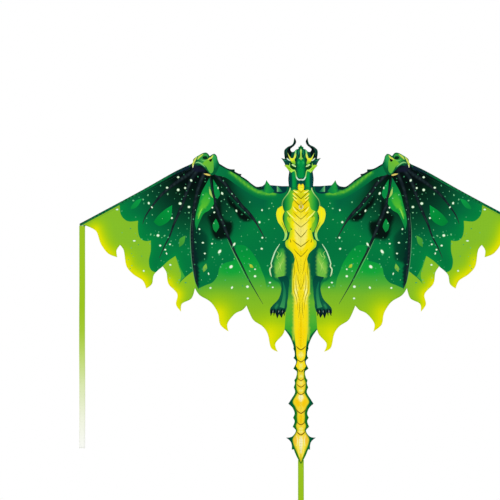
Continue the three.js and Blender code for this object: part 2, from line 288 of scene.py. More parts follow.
# ---- outlines of the sail ------------------------------------------------------------------------
# They follow the CAD's panels, with two thorns more on each arm and with laps at the neck and the tail.
# Each strand begins where the one above it ends.
LEADING_EDGE = [(349, 135), (400, 111), (500, 54.5), (600, 0.5), (700, -53)]
WING = [
    [(60, NECK_SEAM_Z)],
    [(97, 69)],
    [(103, 76), (109, 85)],
    [(114, 73), (122, 66)],
    [(140, 64), (155, 73), (172, 87), (190, 98)],
    [(187.5, 104)],
    [(198, 106), (209, 112)],
    [(209.5, 119)],
    [(222, 119.5), (234, 123), (258, 137)],
    [(263, 150), (266, 161), (273, 168), (281, 166), (288, 161)],
    [(297, 171), (308, 171), (322, 164), (339, 152), (342, 141), (349, 135)],
    LEADING_EDGE[1:],
    [(699, -59)],
    [(683, -58)],
    [(648, -76), (633, -116), (610, -147), (581, -159)],
    [(583, -137), (572, -120)],
    [(560, -138), (552, -186), (530, -213), (500, -233), (489, -258)],
    [(471, -243), (464, -213), (437, -188)],
    [(425, -208), (419, -243), (391, -275), (395, -308), (379, -331)],
    [(376, -306), (346, -289), (335, -257)],
    [(320, -279), (285, -301), (263, -335), (255, -372), (229, -394)],
    [(232, -368), (209, -338), (185, -326), (172, -312)],
    [(160, -341), (148, -360), (121, -378), (105, -402), (95, -444), (73, -458)],
    [(80, -443), (79, -428), (58, -405), (51, -388)],
    [(35, -411), (24, -438), (24, -448)],
    [(20, -459), (20, -471), (24, -477)],
    [(16, -486), (16, -495), (24, -511)],
    [(14, -519), (13, TAIL_HINGE_Z + 1)],
    [(0, TAIL_HINGE_Z + 1)],
    [(0, NECK_SEAM_Z)],
]
HEAD = [
    [(38, NECK_SEAM_Z - NECK_LAP)],
    [(38.4, NECK_SEAM_Z)],
    [(40, 90), (37, 112)],
    [(45, 123), (53, 131)],
    [(50, 133), (55, 144), (63, 155)],
    [(56, 153), (51, 152)],
    [(53, 177), (43, 189), (26, 199), (21, 220)],
    [(15, 207), (20, 195), (33, 183), (29, 174)],
    [(22, 175), (16, 181), (8, 184)],
    [(0, 197)],
    [(0, NECK_SEAM_Z - NECK_LAP)],
]
TAIL = [
    [(13, TAIL_HINGE_Z + TAIL_LAP)],
    [(13, TAIL_HINGE_Z - 1)],
    [(16, -540), (21, -547)],
    [(19, -558), (23, -570)],
    [(19, -580), (20, -590), (31, -608), (40, -622)],
    [(27, -634), (20, -652), (25, -666)],
    [(20, -678), (26, -695)],
    [(16, -707), (24, -722), (34, -728), (47, -729)],
    [(34, -740), (29, -753), (29, -767)],
    [(23, -766)],
    [(13, -790), (0, TAIL_TIP_Z)],
    [(0, TAIL_HINGE_Z + TAIL_LAP)],
]

# ---- artwork of a wing ---------------------------------------------------------------------------
# The printed finger bones, from the wrist out: knots and widths.
BONES = [
    ([(326, 122), (380, 87), (419, 58), (441, 38), (463, 12), (489, -25), (501, -54)],
     [17, 14, 10, 8, 6, 4, 1]),
    ([(326, 118), (344, 92), (357, 61), (372, 15), (386, -19), (402, -55), (415, -92), (432, -125),
      (448, -162)],
     [16, 15, 12, 10, 9, 7, 5, 4, 1]),
    ([(306, 108), (313, 89), (324, 61), (333, 24), (340, -19), (344, -77), (343, -123), (341, -160),
      (337, -195), (331, -234), (324, -260)], [12, 13, 12, 11, 10, 10, 9, 8, 7, 6, 1]),
    ([(287, 94), (280, 57), (274, 29), (268, 0), (257, -28), (247, -50), (236, -80), (222, -112),
      (207, -146), (190, -178), (168, -223), (151, -254), (120, -307)],
     [3, 4, 6, 11, 13, 12, 10, 8, 6, 5, 4, 3, 1]),
    ([(276, 110), (257, 89), (238, 71), (225, 50), (206, 27), (188, 4), (169, -15), (151, -36),
      (138, -56), (122, -85), (110, -106)], [12, 12, 12, 12, 12, 11, 11, 9, 5, 3, 1]),
]
# The dark membrane: its scalloped lower edge, then round outside the sail.
MEMBRANE = [
    [(577, 22)],
    [(573, 2)],
    [(570, -22), (559, -38), (543, -46), (515, -44)],
    [(516, -65), (513, -88), (505, -102), (490, -108), (475, -106)],
    [(475, -138), (481, -170), (476, -196), (461, -206), (447, -200), (437, -187)],
    [(420, -171), (397, -155)],
    [(384, -188), (378, -212), (385, -244)],
    [(372, -228), (341, -203)],
    [(335, -235), (324, -258)],
    [(300, -247), (282, -240), (270, -228), (262, -212), (257, -190), (240, -177), (214, -170)],
    [(204, -120)],
    [(178, -122), (152, -146), (133, -178), (124, -202)],
    [(0, -202)],
    [(0, 240)],
    [(620, 240)],
    [(620, 60)],
]
# The edges that the flames burn yellow along, each with how far the yellow reaches in.
FLAME_EDGES = [
    (60, [(650, -74), (633, -116), (610, -147), (581, -159)]),
    (60, [(556, -176), (548, -194), (530, -213), (500, -233), (489, -258)]),
    (54, [(421, -240), (408, -262), (391, -277), (395, -308), (379, -331)]),
    (96, [(262, -340), (255, -372), (229, -394)]),
    (96, [(97, -404), (95, -444), (73, -458)]),
]
LEAVES = [
    ([(520, 21), (535, 4), (539, -7)], [(523, -3), (511, 10), (502, 27)], (8, 156, 68)),
    ([(432, -10), (452, -28), (466, -47)], [(445, -60), (413, -38), (407, 6)], (0, 150, 60)),
    ([(384, -102), (385, -127)], [(370, -114), (365, -90)], (74, 170, 56)),
    ([(279, -55), (276, -72), (268, -80)], [(259, -64), (262, -50), (269, -37)], (10, 150, 66)),
    ([(310, -192), (308, -206)], [(297, -194), (300, -179)], (132, 198, 72)),
    ([(155, -183), (150, -192)], [(160, -191), (163, -180)], (190, 216, 62)),
]
# Bright stars: x, z, length, width, turn in degrees.
STARS = [
    (481, 12, 8, 6, 70), (452, -90, 9, 8, 0), (423, 61, 7, 6, 0), (388, 94, 7, 6, 0),
    (388, 54, 8, 8, 0), (382, 11, 9, 8, 0), (354, 0, 8, 7, 0), (347, 84, 8, 6, 60), (366, 60, 6, 6, 0),
    (408, -35, 6, 6, 0), (249, 43, 9, 6, 60), (257, -141, 14, 8, -55), (211, -118, 12, 6, -60),
    (221, -189, 12, 9, -40), (218, -255, 9, 6, -60), (169, -252, 9, 8, 0), (286, -256, 7, 6, 0),
    (145, -219, 8, 7, 0), (145, -197, 5, 5, 0), (124, -132, 7, 6, 0), (131, -48, 7, 7, 0),
    (122, -97, 6, 6, 0), (281, -116, 6, 5, 0), (310, -113, 7, 5, 0), (274, -17, 6, 5, 0),
    (280, -2, 5, 5, 0), (321, -70, 6, 5, 70), (292, -211, 8, 4, 75), (204, -12, 8, 5, 70),
    (445, -122, 7, 6, 0), (414, -118, 6, 5, 0), (429, -135, 6, 5, 0), (425, -147, 7, 4, 70),
    (581, -8, 8, 5, 0), (527, -107, 9, 5, 0), (413, -183, 7, 6, 0), (123, -10, 5, 6, 0),
    (168, -289, 7, 6, 0), (497, -202, 6, 6, 0), (304, -147, 6, 5, 0), (98, -239, 7, 5, 0),
    (89, -254, 6, 5, 0), (471, -1, 7, 4, 50), (262, 60, 4, 7, 0),
]


def star_layers():
    """The bright stars, drawn one by one, and the dust between them."""
    rng = random.Random(7)
    layers = []
    dust = []
    while len(dust) < 250:
        x, z = rng.uniform(70, 575), rng.uniform(-262, 105)
        if min(math.hypot(x - s[0], z - s[1]) for s in STARS + dust) > 9:
            dust.append((x, z))
            size = rng.choice((2.4, 3.0, 3.6, 4.4))
            colour = rng.choice(((70, 160, 108), (96, 186, 132), (140, 212, 156), (58, 150, 98)))
            spot = ellipse(x, z, size * rng.uniform(1, 1.7), size, rng.uniform(0, 180), 7)
            layers.append(layer(spot, flat(*colour, 0.85)))
    for x, z, long, short, turn in STARS:
        layers.append(layer(ellipse(x, z, long * 1.35, short * 1.35, turn), flat(110, 190, 120, 0.7)))
        layers.append(layer(ellipse(x, z, long * 0.95, short * 0.95, turn, 8), flat(240, 252, 228)))
    return layers


def flame_layers():
    """Lime cloth, yellow along the flames' outer edges, under everything else."""
    everywhere = np.array([(-20, 240), (-20, -560), (760, -560), (760, 240)], float)
    inner = [(-470, (236, 232, 5)), (-398, (230, 228, 6)), (-380, (210, 220, 8)), (-364, (166, 203, 20)),
             (-335, (144, 194, 28)), (-310, (134, 190, 34)), (-280, (122, 186, 40)),
             (-250, (94, 177, 50)), (-228, (66, 170, 54)), (-200, (30, 164, 58)), (-172, (6, 154, 58)),
             (-150, (2, 146, 58)), (-110, (2, 138, 60))]
    layers = [
        layer(everywhere, flat(134, 191, 40)),
        layer(np.array([(346, 0), (332, -262), (300, -480), (-10, -480), (-10, 0)], float),
              by_height(*inner)),
        layer(blob((262, -196), (226, -176), (186, -150), (180, -205), (214, -224), (252, -218)),
              flat(4, 164, 56, 0.6), 22),
    ]
    for reach, edge in FLAME_EDGES:
        glow = beside(curve(edge), (0, (232, 230, 0)), (0.14 * reach, (218, 225, 0)),
                      (0.3 * reach, (196, 217, 2, 0.85)), (0.58 * reach, (164, 206, 12, 0.5)),
                      (reach, (140, 194, 30, 0)))
        layers.append(layer(everywhere, glow))
    return layers


def membrane_layers():
    """The near-black web between the printed fingers, its pools, leaves and flame."""
    web = outline(*MEMBRANE)
    scallops = run(MEMBRANE[1][-1], *MEMBRANE[2:7])  # the lower edge alone
    shade = around(330, 112, (0, (0, 12, 10)), (60, (0, 20, 13)), (95, (2, 40, 24)), (130, (2, 54, 35)),
                   (170, (2, 80, 46)), (215, (0, 106, 60)), (250, (0, 122, 62)), (330, (0, 116, 62)))
    hip = outline([(133, -178), (124, -202), (114, -228), (109, -262)], [(30, -262)],
                  [(30, -146)], [(152, -146)])
    layers = [
        layer(web, shade),
        layer(hip, by_height((-262, (40, 160, 56, 0)), (-236, (10, 140, 60, 0.7)), (-214, (0, 126, 62)),
                             (-146, (0, 116, 62)))),
        layer(web, beside(scallops, (0, (0, 150, 62, 0.55)), (8, (0, 140, 62, 0.4)),
                          (26, (0, 130, 62, 0)))),
        layer(blob((85, 60), (190, 90), (230, 100), (222, 50), (170, 0), (100, -40), (85, 10)),
              flat(0, 100, 62, 0.9), 40),
        layer(outline([(383, -190), (366, -222)], [(374, -226), (385, -244)],
                      [(379, -214), (388, -184), (397, -156)]), flat(60, 168, 56)),
        layer(blob((268, 24), (252, 34), (247, 0), (240, -34), (214, -44), (211, -72), (222, -98),
                   (240, -106), (268, -108), (284, -92), (292, -58), (300, -30), (284, -12), (272, 0)),
              flat(2, 20, 14), 12),
        layer(outline([(326, -50), (300, -76), (284, -100), (286, -140), (292, -168), (310, -178),
                       (344, -192)],
                      [(350, -120), (340, -12)]),
              by_reach((284, (0, 100, 56, 0.6)), (300, (0, 70, 44)), (330, (0, 52, 36)),
                       (350, (0, 36, 30))), 12),
        layer(stroke([(342, -110), (336, -160), (330, -204), (324, -256)], [10, 22, 18, 3]),
              flat(2, 40, 36), 3),
        layer(blob((241, 42), (224, 32), (206, 12), (190, -4), (170, -20), (150, -40), (168, -48),
                   (186, -46), (202, -32), (212, -12), (230, 6)), flat(2, 16, 12), 7),
        layer(blob((352, 132), (300, 118), (270, 100), (300, 84), (330, 60), (380, 60), (430, 90),
                   (400, 112)),
              flat(1, 12, 12, 0.85), 26),
    ]
    for first, second, colour in LEAVES:
        shaded = between(second[-1], first[-1], (0, colour), (1, tuple(0.86 * c for c in colour)))
        layers.append(layer(outline(first, second), shaded))
    layers += [
        layer(outline([(301, 71), (315, 43), (324, 8), (331, -19), (335, -50), (330, -74)],
                      [(322, -50), (308, -22), (291, -11), (279, 3), (274, 18), (281, 40), (289, 92)]),
              by_height((-74, (6, 130, 66)), (-20, (20, 154, 58)), (40, (12, 150, 58)),
                        (92, (2, 116, 66)))),
        layer(blob((306, 44), (316, 20), (322, -4), (327, -26), (328, -42), (320, -30), (312, -12),
                   (299, -2), (290, 8), (286, 26), (292, 44)),
              by_height((-44, (96, 196, 62)), (-10, (100, 196, 46)), (44, (40, 168, 54))), 4),
        layer(stroke([(325, -38), (318, -16), (312, -4)], [1, 4, 1]), flat(140, 220, 80)),
        layer(outline([(284, 48), (278, 28)], [(289, 42), (290, 64)]), flat(168, 206, 100)),
        layer(outline([(262, 62), (256, 40), (265, 25)], [(274, 44), (278, 88)]), flat(4, 140, 66)),
    ]
    return layers


def arm_layers():
    """The arm from the shoulder to the wrist, lit along its middle, and its spikes."""
    arm = curve([(222, 110), (216, 106), (200, 93), (182, 78), (165, 65), (150, 55), (135, 48), (112, 43),
                 (84, 42)])
    hump = outline([(230, 124), (196, 104), (160, 76), (128, 66), (90, 66), (60, 60), (70, 20)],
                   [(130, 26), (190, 60), (236, 92), (272, 104), (264, 134)])
    return [
        layer(hump, by_reach((70, (0, 118, 62, 0.8)), (190, (0, 110, 60, 0.9)), (262, (4, 120, 66)))),
        layer(np.array([(40, 160), (290, 160), (290, -20), (40, -20)], float),
              beside(arm, (0, (126, 206, 46, 0.9)), (2.2, (96, 190, 50, 0.85)),
                     (5.5, (36, 156, 58, 0.65)), (11, (6, 132, 62, 0.35)), (20, (0, 112, 60, 0)))),
        layer(stroke([(256, 133), (238, 124), (220, 114), (206, 105)], [1, 4, 4, 1]), flat(86, 190, 110)),
        layer(outline([(46, 50), (64, 42), (90, 46), (112, 51), (128, 58), (146, 66)],
                      [(130, 80), (44, 72)]),
              flat(2, 56, 58)),
        layer(outline([(116, 62), (120, 50)], [(100, 42), (84, 50)], [(97, 68), (109, 86)]),
              between((118, 60), (90, 56), (0, (2, 100, 62)), (0.3, (30, 160, 62)), (1, (6, 130, 66)))),
        layer(outline([(76, 48)], [(58, 48)], [(66, 58), (76, 68)]),
              between((76, 56), (62, 56), (0, (130, 190, 130)), (0.4, (56, 156, 90)),
                      (1, (10, 110, 74)))),
        # its dark upper edge, with two thorns
        layer(outline([(130, 54), (146, 61), (162, 74), (192, 95), (222, 112), (260, 132)],
                      [(256, 142), (210, 128), (180, 112), (150, 84), (116, 58)]), flat(4, 46, 36)),
    ]


def wing_layers():
    """Everything on the wing panel, from the bottom layer up; the body is printed on it too."""
    edge = curve(LEADING_EDGE)
    layers = flame_layers() + membrane_layers()
    for knots, widths in BONES:
        path = curve(knots)
        layers.append(layer(stroke(knots, widths),
                            beside(path, (0, (40, 58, 56)), (2.5, (20, 34, 40)), (6, (4, 12, 16)))))
    layers += [
        layer(stroke([(345, -20), (350, -80), (349, -125), (346, -165), (341, -205), (333, -245)],
                     [0.4, 1.2, 1.6, 1.6, 1.2, 0.4]), flat(92, 150, 108)),
        layer(stroke([(233, -102), (212, -146), (192, -186), (172, -226)], [0.3, 1.5, 1.3, 0.3]),
              flat(120, 180, 120)),
    ]
    layers += star_layers() + arm_layers()
    layers += [
        # the leading edge's folded hem
        layer(np.vstack((edge, (edge - (-1.5, 9.5))[::-1])),
              beside(edge, (0, (0, 60, 40)), (1.6, (0, 92, 54)), (4, (20, 146, 72)), (5.6, (14, 132, 68)),
                     (8.5, (0, 58, 40)))),
        layer(stroke([(352, 129), (372, 119), (400, 105), (440, 84)], [17, 12, 8, 1]), flat(16, 36, 52),
              4),
        layer(stroke([(700, -54), (676, -42), (650, -29)], [3.4, 3.4, 0.6]), flat(40, 50, 10)),
    ]
    return layers + claw_layers() + body_layers()


def claw_layers():
    """The folded hand on the wrist."""
    horn = flat(206, 220, 92)
    return [
        layer(outline([(263, 150), (266, 162), (276, 169), (288, 162)],
                      [(298, 172), (310, 172), (324, 165), (341, 152), (343, 140), (349, 134)],
                      [(336, 126), (318, 132), (300, 118), (286, 102), (272, 104), (262, 120),
                       (258, 134)]),
              flat(2, 92, 52)),
        layer(blob((352, 134), (338, 137), (322, 132), (304, 124), (298, 112), (312, 108), (340, 112)),
              flat(22, 26, 46, 0.9), 5),
        layer(outline([(266, 156), (276, 166), (284, 160)], [(278, 146), (272, 122), (262, 130)]),
              between((262, 140), (284, 150), (0, (0, 104, 60)), (0.5, (40, 160, 80)),
                      (1, (60, 170, 80)))),
        layer(blob((279, 150), (292, 152), (304, 147), (312, 138), (300, 128), (293, 116), (285, 106),
                   (277, 114), (276, 132)),
              between((300, 140), (278, 112), (0, (112, 190, 50)), (1, (80, 176, 66)))),
        layer(blob((312, 138), (320, 146), (330, 150), (326, 162), (312, 168), (298, 168), (294, 158),
                   (302, 148)),
              flat(48, 150, 64)),
        layer(blob((298, 160), (308, 160), (311, 154), (302, 150), (296, 154)), flat(2, 44, 26)),
        layer(blob((281, 151), (288, 152), (290, 146), (284, 143)), flat(4, 26, 16)),
        layer(stroke([(334, 139), (324, 141), (314, 136), (302, 126)], [1.5, 5, 4, 1]),
              flat(122, 200, 120)),
        layer(stroke([(316, 150), (306, 146), (298, 150)], [1, 4, 1]), flat(110, 196, 90)),
        layer(stroke([(342, 124), (341, 136), (335, 149), (329, 158)], [1, 5.5, 5.5, 1.5]), horn),
        layer(stroke([(327, 150), (322, 157), (316, 162), (309, 167)], [1, 5.5, 5, 1.5]),
              flat(190, 212, 84)),
        layer(stroke([(295, 149), (289, 153), (283, 156), (278, 163)], [1, 5, 5, 1.5]),
              flat(212, 222, 84)),
        layer(stroke([(342, 124), (340, 132)], [1, 3]), flat(236, 240, 190)),
        layer(stroke([(307, 105), (298, 103), (290, 101), (286, 101)], [0.8, 5.5, 5, 1]),
              flat(224, 204, 104)),
    ]


# ---- artwork of the body -------------------------------------------------------------------------
def chest_layers():
    """Ribcage, its outline and the yellow folds at the sides of the waist."""
    crescent = outline(
        [(66, 0), (74, -6)],
        [(78, -19), (77, -32), (72, -48), (62, -62), (54, -76), (51, -88), (54, -102), (59, -107)],
        [(50, -105), (45, -96), (43, -86), (46, -72), (53, -57), (58, -38), (57, -26), (52, -14)],
        [(56, -6), (58, 4)],
    )
    return [
        layer(outline([(32, 70), (34, 52), (44, 37), (54, 25), (58, 8), (54, -12)],
                      [(46, -24), (0, -24)], [(0, 70)]),
              by_reach((16, (150, 205, 40)), (26, (120, 194, 40)), (36, (70, 176, 54)),
                       (46, (20, 146, 60)), (56, (0, 96, 46)))),
        layer(outline([(33, 76), (33, 58), (28, 50)], [(20, 55), (8, 52), (0, 60)], [(0, 76)]),
              by_reach((0, (0, 74, 56)), (8, (0, 90, 50)), (14, (0, 108, 52)), (21, (0, 152, 66)),
                       (27, (2, 140, 66)), (32, (0, 92, 60)))),
        layer(outline([(54, -16), (57, -30), (55, -48), (48, -66), (38, -80), (30, -74)],
                      [(36, -50), (40, -14)]),
              by_reach((34, (150, 200, 30)), (42, (110, 190, 40)), (50, (70, 170, 60)),
                       (57, (0, 92, 40)))),
        layer(stroke([(51, -10), (56, -22), (58, -38), (53, -57), (45, -74), (42, -88), (44, -100)],
                     [1, 4, 4, 4, 4, 5, 2]), flat(0, 74, 44)),
        layer(stroke([(34, 64), (35, 54), (42, 41), (50, 31), (57, 20), (59.5, 8), (59, 2)],
                     [2.5, 3, 3, 2.6, 3, 3, 2]),
              by_height((0, (150, 200, 120)), (12, (110, 160, 90)), (40, (150, 200, 110)),
                        (56, (196, 240, 140)))),
        layer(crescent, by_height((-107, (150, 220, 120)), (-86, (170, 225, 110)), (-70, (200, 225, 60)),
                                  (-45, (238, 234, 40)), (0, (240, 235, 30)))),
        layer(stroke([(63, -4), (66, -22), (64, -40)], [1, 5, 1]), flat(255, 240, 10)),
        layer(stroke([(61, -46), (56, -58), (50, -70), (47, -82)], [1, 2.6, 2.6, 1]), flat(150, 170, 4)),
    ]


def leg_layers():
    """Thigh, lower leg and clawed foot."""
    thigh = outline([(70, -130), (82, -146), (87, -170), (86, -200), (82, -226)],
                    [(66, -229), (48, -226)], [(46, -190), (48, -150), (56, -126)])
    leg = outline([(63, -240), (62, -260), (67, -282), (75, -296), (88, -309), (97, -321), (98, -334)],
                  [(94, -344)], [(90, -335), (81, -335)], [(75, -353)],
                  [(69, -339)], [(61, -351)], [(56, -338), (49, -332)],
                  [(44, -316), (43, -300), (40, -282), (39, -258), (37, -236), (44, -216)],
                  [(74, -222)])
    layers = [
        layer(outline([(60, -112), (74, -126), (88, -150), (98, -196), (92, -226), (70, -240),
                       (40, -240)],
                      [(22, -200), (36, -118)]),
              by_reach((24, (0, 100, 60)), (44, (0, 84, 62)), (70, (0, 112, 60)), (96, (0, 104, 58))), 6),
        layer(thigh, between((90, -150), (50, -176), (0, (0, 104, 58)), (0.3, (34, 148, 60)),
                             (0.55, (92, 184, 64)), (0.8, (142, 202, 76)), (1, (110, 188, 66))), 6),
        layer(stroke([(67, -117), (80, -138), (88, -158), (95, -180)], [1.5, 3.4, 4, 3]),
              flat(196, 236, 190)),
        layer(stroke([(95, -178), (93, -188), (98, -196), (97, -208), (93, -220)], [3, 4, 4, 4, 1]),
              flat(206, 232, 180)),
        layer(leg, by_height((-345, (2, 22, 30)), (-334, (6, 44, 44)), (-318, (8, 84, 62)),
                             (-280, (6, 94, 66)), (-225, (0, 72, 58)))),
        layer(stroke([(57, -236), (52, -262), (54, -292), (60, -318)], [2, 7, 10, 16]),
              by_height((-322, (56, 152, 84)), (-290, (40, 136, 80)), (-250, (14, 112, 76)))),
        layer(stroke([(66, -300), (74, -312), (84, -322)], [4, 10, 8]), flat(40, 136, 80), 3),
    ]
    scales = [
        [(78, -138), (70, -148), (76, -158), (70, -168)],
        [(60, -142), (66, -156), (78, -158)],
        [(72, -174), (66, -184), (72, -198)],
        [(58, -172), (65, -188), (62, -204)],
        [(70, -200), (66, -212)],
    ]
    for knots in scales:
        layers.append(layer(stroke(knots, [0.5, 1.8, 1.8, 0.5]), flat(176, 220, 110, 0.9)))
    for x, lean in ((93, 3), (84, 2), (74, 2), (62, -1), (54, -2)):
        layers.append(layer(stroke([(x - 2, -322), (x, -330), (x + lean, -344)], [2, 6, 1]),
                            flat(6, 20, 26)))
    for x in (88, 70, 58):
        layers.append(layer(stroke([(x, -328), (x + 1, -334)], [2.6, 0.6]), flat(130, 150, 140)))
    return layers


def belly_layers():
    """The yellow plates from throat to tail."""
    belly = outline([(4, 73), (9, 69), (10, 60)], [(9, 54), (16, 51), (24, 54)],
                    [(21, 46), (27, 43)], [(20, 35), (26, 31)], [(22, 24), (27, 12), (29, 0)],
                    [(34, -8), (45, -13)], [(37, -28)], [(44, -34), (41, -46), (36, -52)],
                    [(34, -62), (27, -71)], [(33, -76), (37, -92), (40, -102)],
                    [(48, -108), (49, -118), (46, -127), (36, -136), (25, -148), (19, -164)],
                    [(24, -196), (27, -236), (27, -270), (21, -292), (23, -330), (22, -384), (18, -424),
                     (15, -450)],
                    [(14, -470), (10, -484)], [(16, -503)], [(10, -514), (10, -530)],
                    [(0, -530)], [(0, 67)])
    dark, light = flat(128, 124, 8), flat(255, 250, 130)
    layers = [
        layer(belly, by_reach((0, (252, 232, 30)), (14, (250, 224, 16)), (24, (240, 222, 20)),
                              (31, (206, 222, 24)), (40, (176, 210, 30)), (50, (190, 216, 40)))),
        layer(outline([(20, -330), (18, -290), (24, -260), (22, -200), (19, -168)],
                      [(30, -200), (30, -270), (26, -300), (28, -420), (18, -420)]),
              flat(206, 214, 60, 0.8), 3),
        layer(centred((0, -90), (26, -94), (40, -104), (43, -116), (34, -132), (20, -148), (0, -160)),
              flat(250, 226, 8), 4),
        layer(centred((0, 6), (10, -10), (20, -40), (23, -70), (20, -100), (14, -126), (0, -140)),
              by_height((-140, (252, 232, 60)), (-112, (250, 238, 112)), (-70, (250, 236, 118)),
                        (-40, (252, 236, 76)), (6, (248, 230, 12))), 4),
        layer(blob((22, -46), (34, -52), (30, -64), (24, -80), (30, -98), (20, -98), (18, -70)),
              flat(255, 238, 0, 0.9), 3),
        layer(centred((0, 66), (6, 68), (7, 60), (0, 50)), flat(246, 250, 60), 2),
        layer(centred((0, 50), (12, 50), (22, 38), (14, 22), (0, 22)), flat(222, 222, 24), 4),
    ]
    # the plates' pale tips, and the dark grooves between them: V shapes with their point on the spine
    tips = [((25, 53), (8, 44), 4), ((27, 42), (11, 28), 3), ((26, 31), (13, 20), 3),
            ((26, 1), (13, -16), 4), ((45, -13), (22, -37), 4), ((29, -28), (18, -40), 3),
            ((24, -40), (8, -58), 2.4), ((22, -70), (8, -86), 2.4)]
    grooves = [(46, (10, 56), 2), (26, (25, 51), 3), (1, (26, 26), 2.6), (-17, (22, 1), 2.2),
               (-39, (24, -16), 2.2), (-64, (27, -40), 2.2), (-96, (21, -71), 2.6), (-125, (27, -104), 3),
               (-157, (23, -132), 2.4)]
    for start, end, wide in tips:
        middle = ((start[0] + end[0]) / 2, (start[1] + end[1]) / 2 - 1)
        layers.append(layer(stroke([start, middle, end], [0.8, wide, 0.8]), light))
    for point, end, wide in grooves:
        tone = dark if end[1] > -60 else flat(138, 128, 10)
        layers.append(layer(groove(point, end, 0.5, [0.8, wide, wide]), tone))
    for start, end in (((24, 35), (14, 26)), ((41, -27), (34, -33)), ((34, -102), (32, -112))):
        layers.append(layer(stroke([start, end], [1, 3]), flat(84, 110, 4)))
    return layers


def root_layers():
    """The long plates of the tail's root."""
    layers = [
        layer(outline([(22, -236), (20, -290), (13, -330)], [(9, -280), (12, -196)]),
              by_height((-330, (252, 240, 90, 0.4)), (-270, (255, 250, 150)),
                        (-196, (250, 240, 90, 0.4))), 3),
        layer(centred((0, -330), (8, -370), (16, -400), (0, -446)), flat(254, 220, 4), 4),
        layer(centred((0, -455), (8, -458), (9, -470), (0, -478)), flat(255, 244, 120), 4),
        layer(centred((0, -494), (6, -496), (7, -504), (0, -512)), flat(255, 246, 130), 4),
    ]
    creases = [
        [(20, -150), (11, -178), (9, -196), (3, -214)],
        [(14, -206), (16, -240), (12, -268), (2, -300)],
        [(23, -230), (22, -262), (14, -290), (10, -326)],
        [(10, -214), (9, -232), (3, -254), (0, -262)],
        [(22, -180), (20, -200), (24, -226)],
        [(5, -300), (4, -322), (8, -350)],
    ]
    for knots in creases:
        layers.append(layer(stroke(knots, [0.8, 2.2, 2.2, 0.8]), flat(168, 156, 10)))
    for point, end, wide in ((-452, (15, -440), 3.4), (-490, (11, -482), 3.2), (-521, (10, -512), 3)):
        layers.append(layer(groove(point, end, 0.42, [1.4, wide, wide]), flat(*BARK)))
    return layers


def body_layers():
    flank = outline([(38, 70), (45, 42), (58, 22), (62, 0), (80, -18), (76, -40), (54, -74), (56, -110)],
                    [(74, -128), (92, -160), (98, -196), (94, -222), (70, -240), (60, -262), (46, -300)],
                    [(52, -390)], [(35, -411), (24, -440), (26, -470), (16, -486), (26, -511)],
                    [(14, -530), (0, -530)], [(0, 70)])
    rim = outline([(36, -411), (24, -438), (24, -448), (20, -460), (20, -471), (24, -477), (16, -487),
                   (16, -495), (25, -511)], [(14, -519), (12, -530)],
                  [(9, -514), (15, -503), (10, -486), (14, -470), (17, -440), (29, -408), (48, -386)],
                  [(53, -386)])
    layers = [
        layer(flank, by_height((-520, (0, 90, 46)), (-440, (0, 120, 50)), (-385, (70, 174, 46)),
                               (-300, (104, 181, 46)), (-250, (30, 130, 60)), (-140, (0, 100, 58)),
                               (0, (0, 116, 60)), (70, (2, 88, 60)))),
        layer(outline([(36, -410), (25, -438)], [(16, -430), (26, -380), (34, -340)],
                      [(46, -350), (52, -386)]), by_height((-440, (16, 150, 46)), (-360, (80, 180, 50)))),
        layer(rim, by_height((-520, (10, 84, 24)), (-440, (0, 84, 44)), (-386, (6, 104, 62)))),
    ]
    return layers + chest_layers() + leg_layers() + belly_layers() + root_layers()


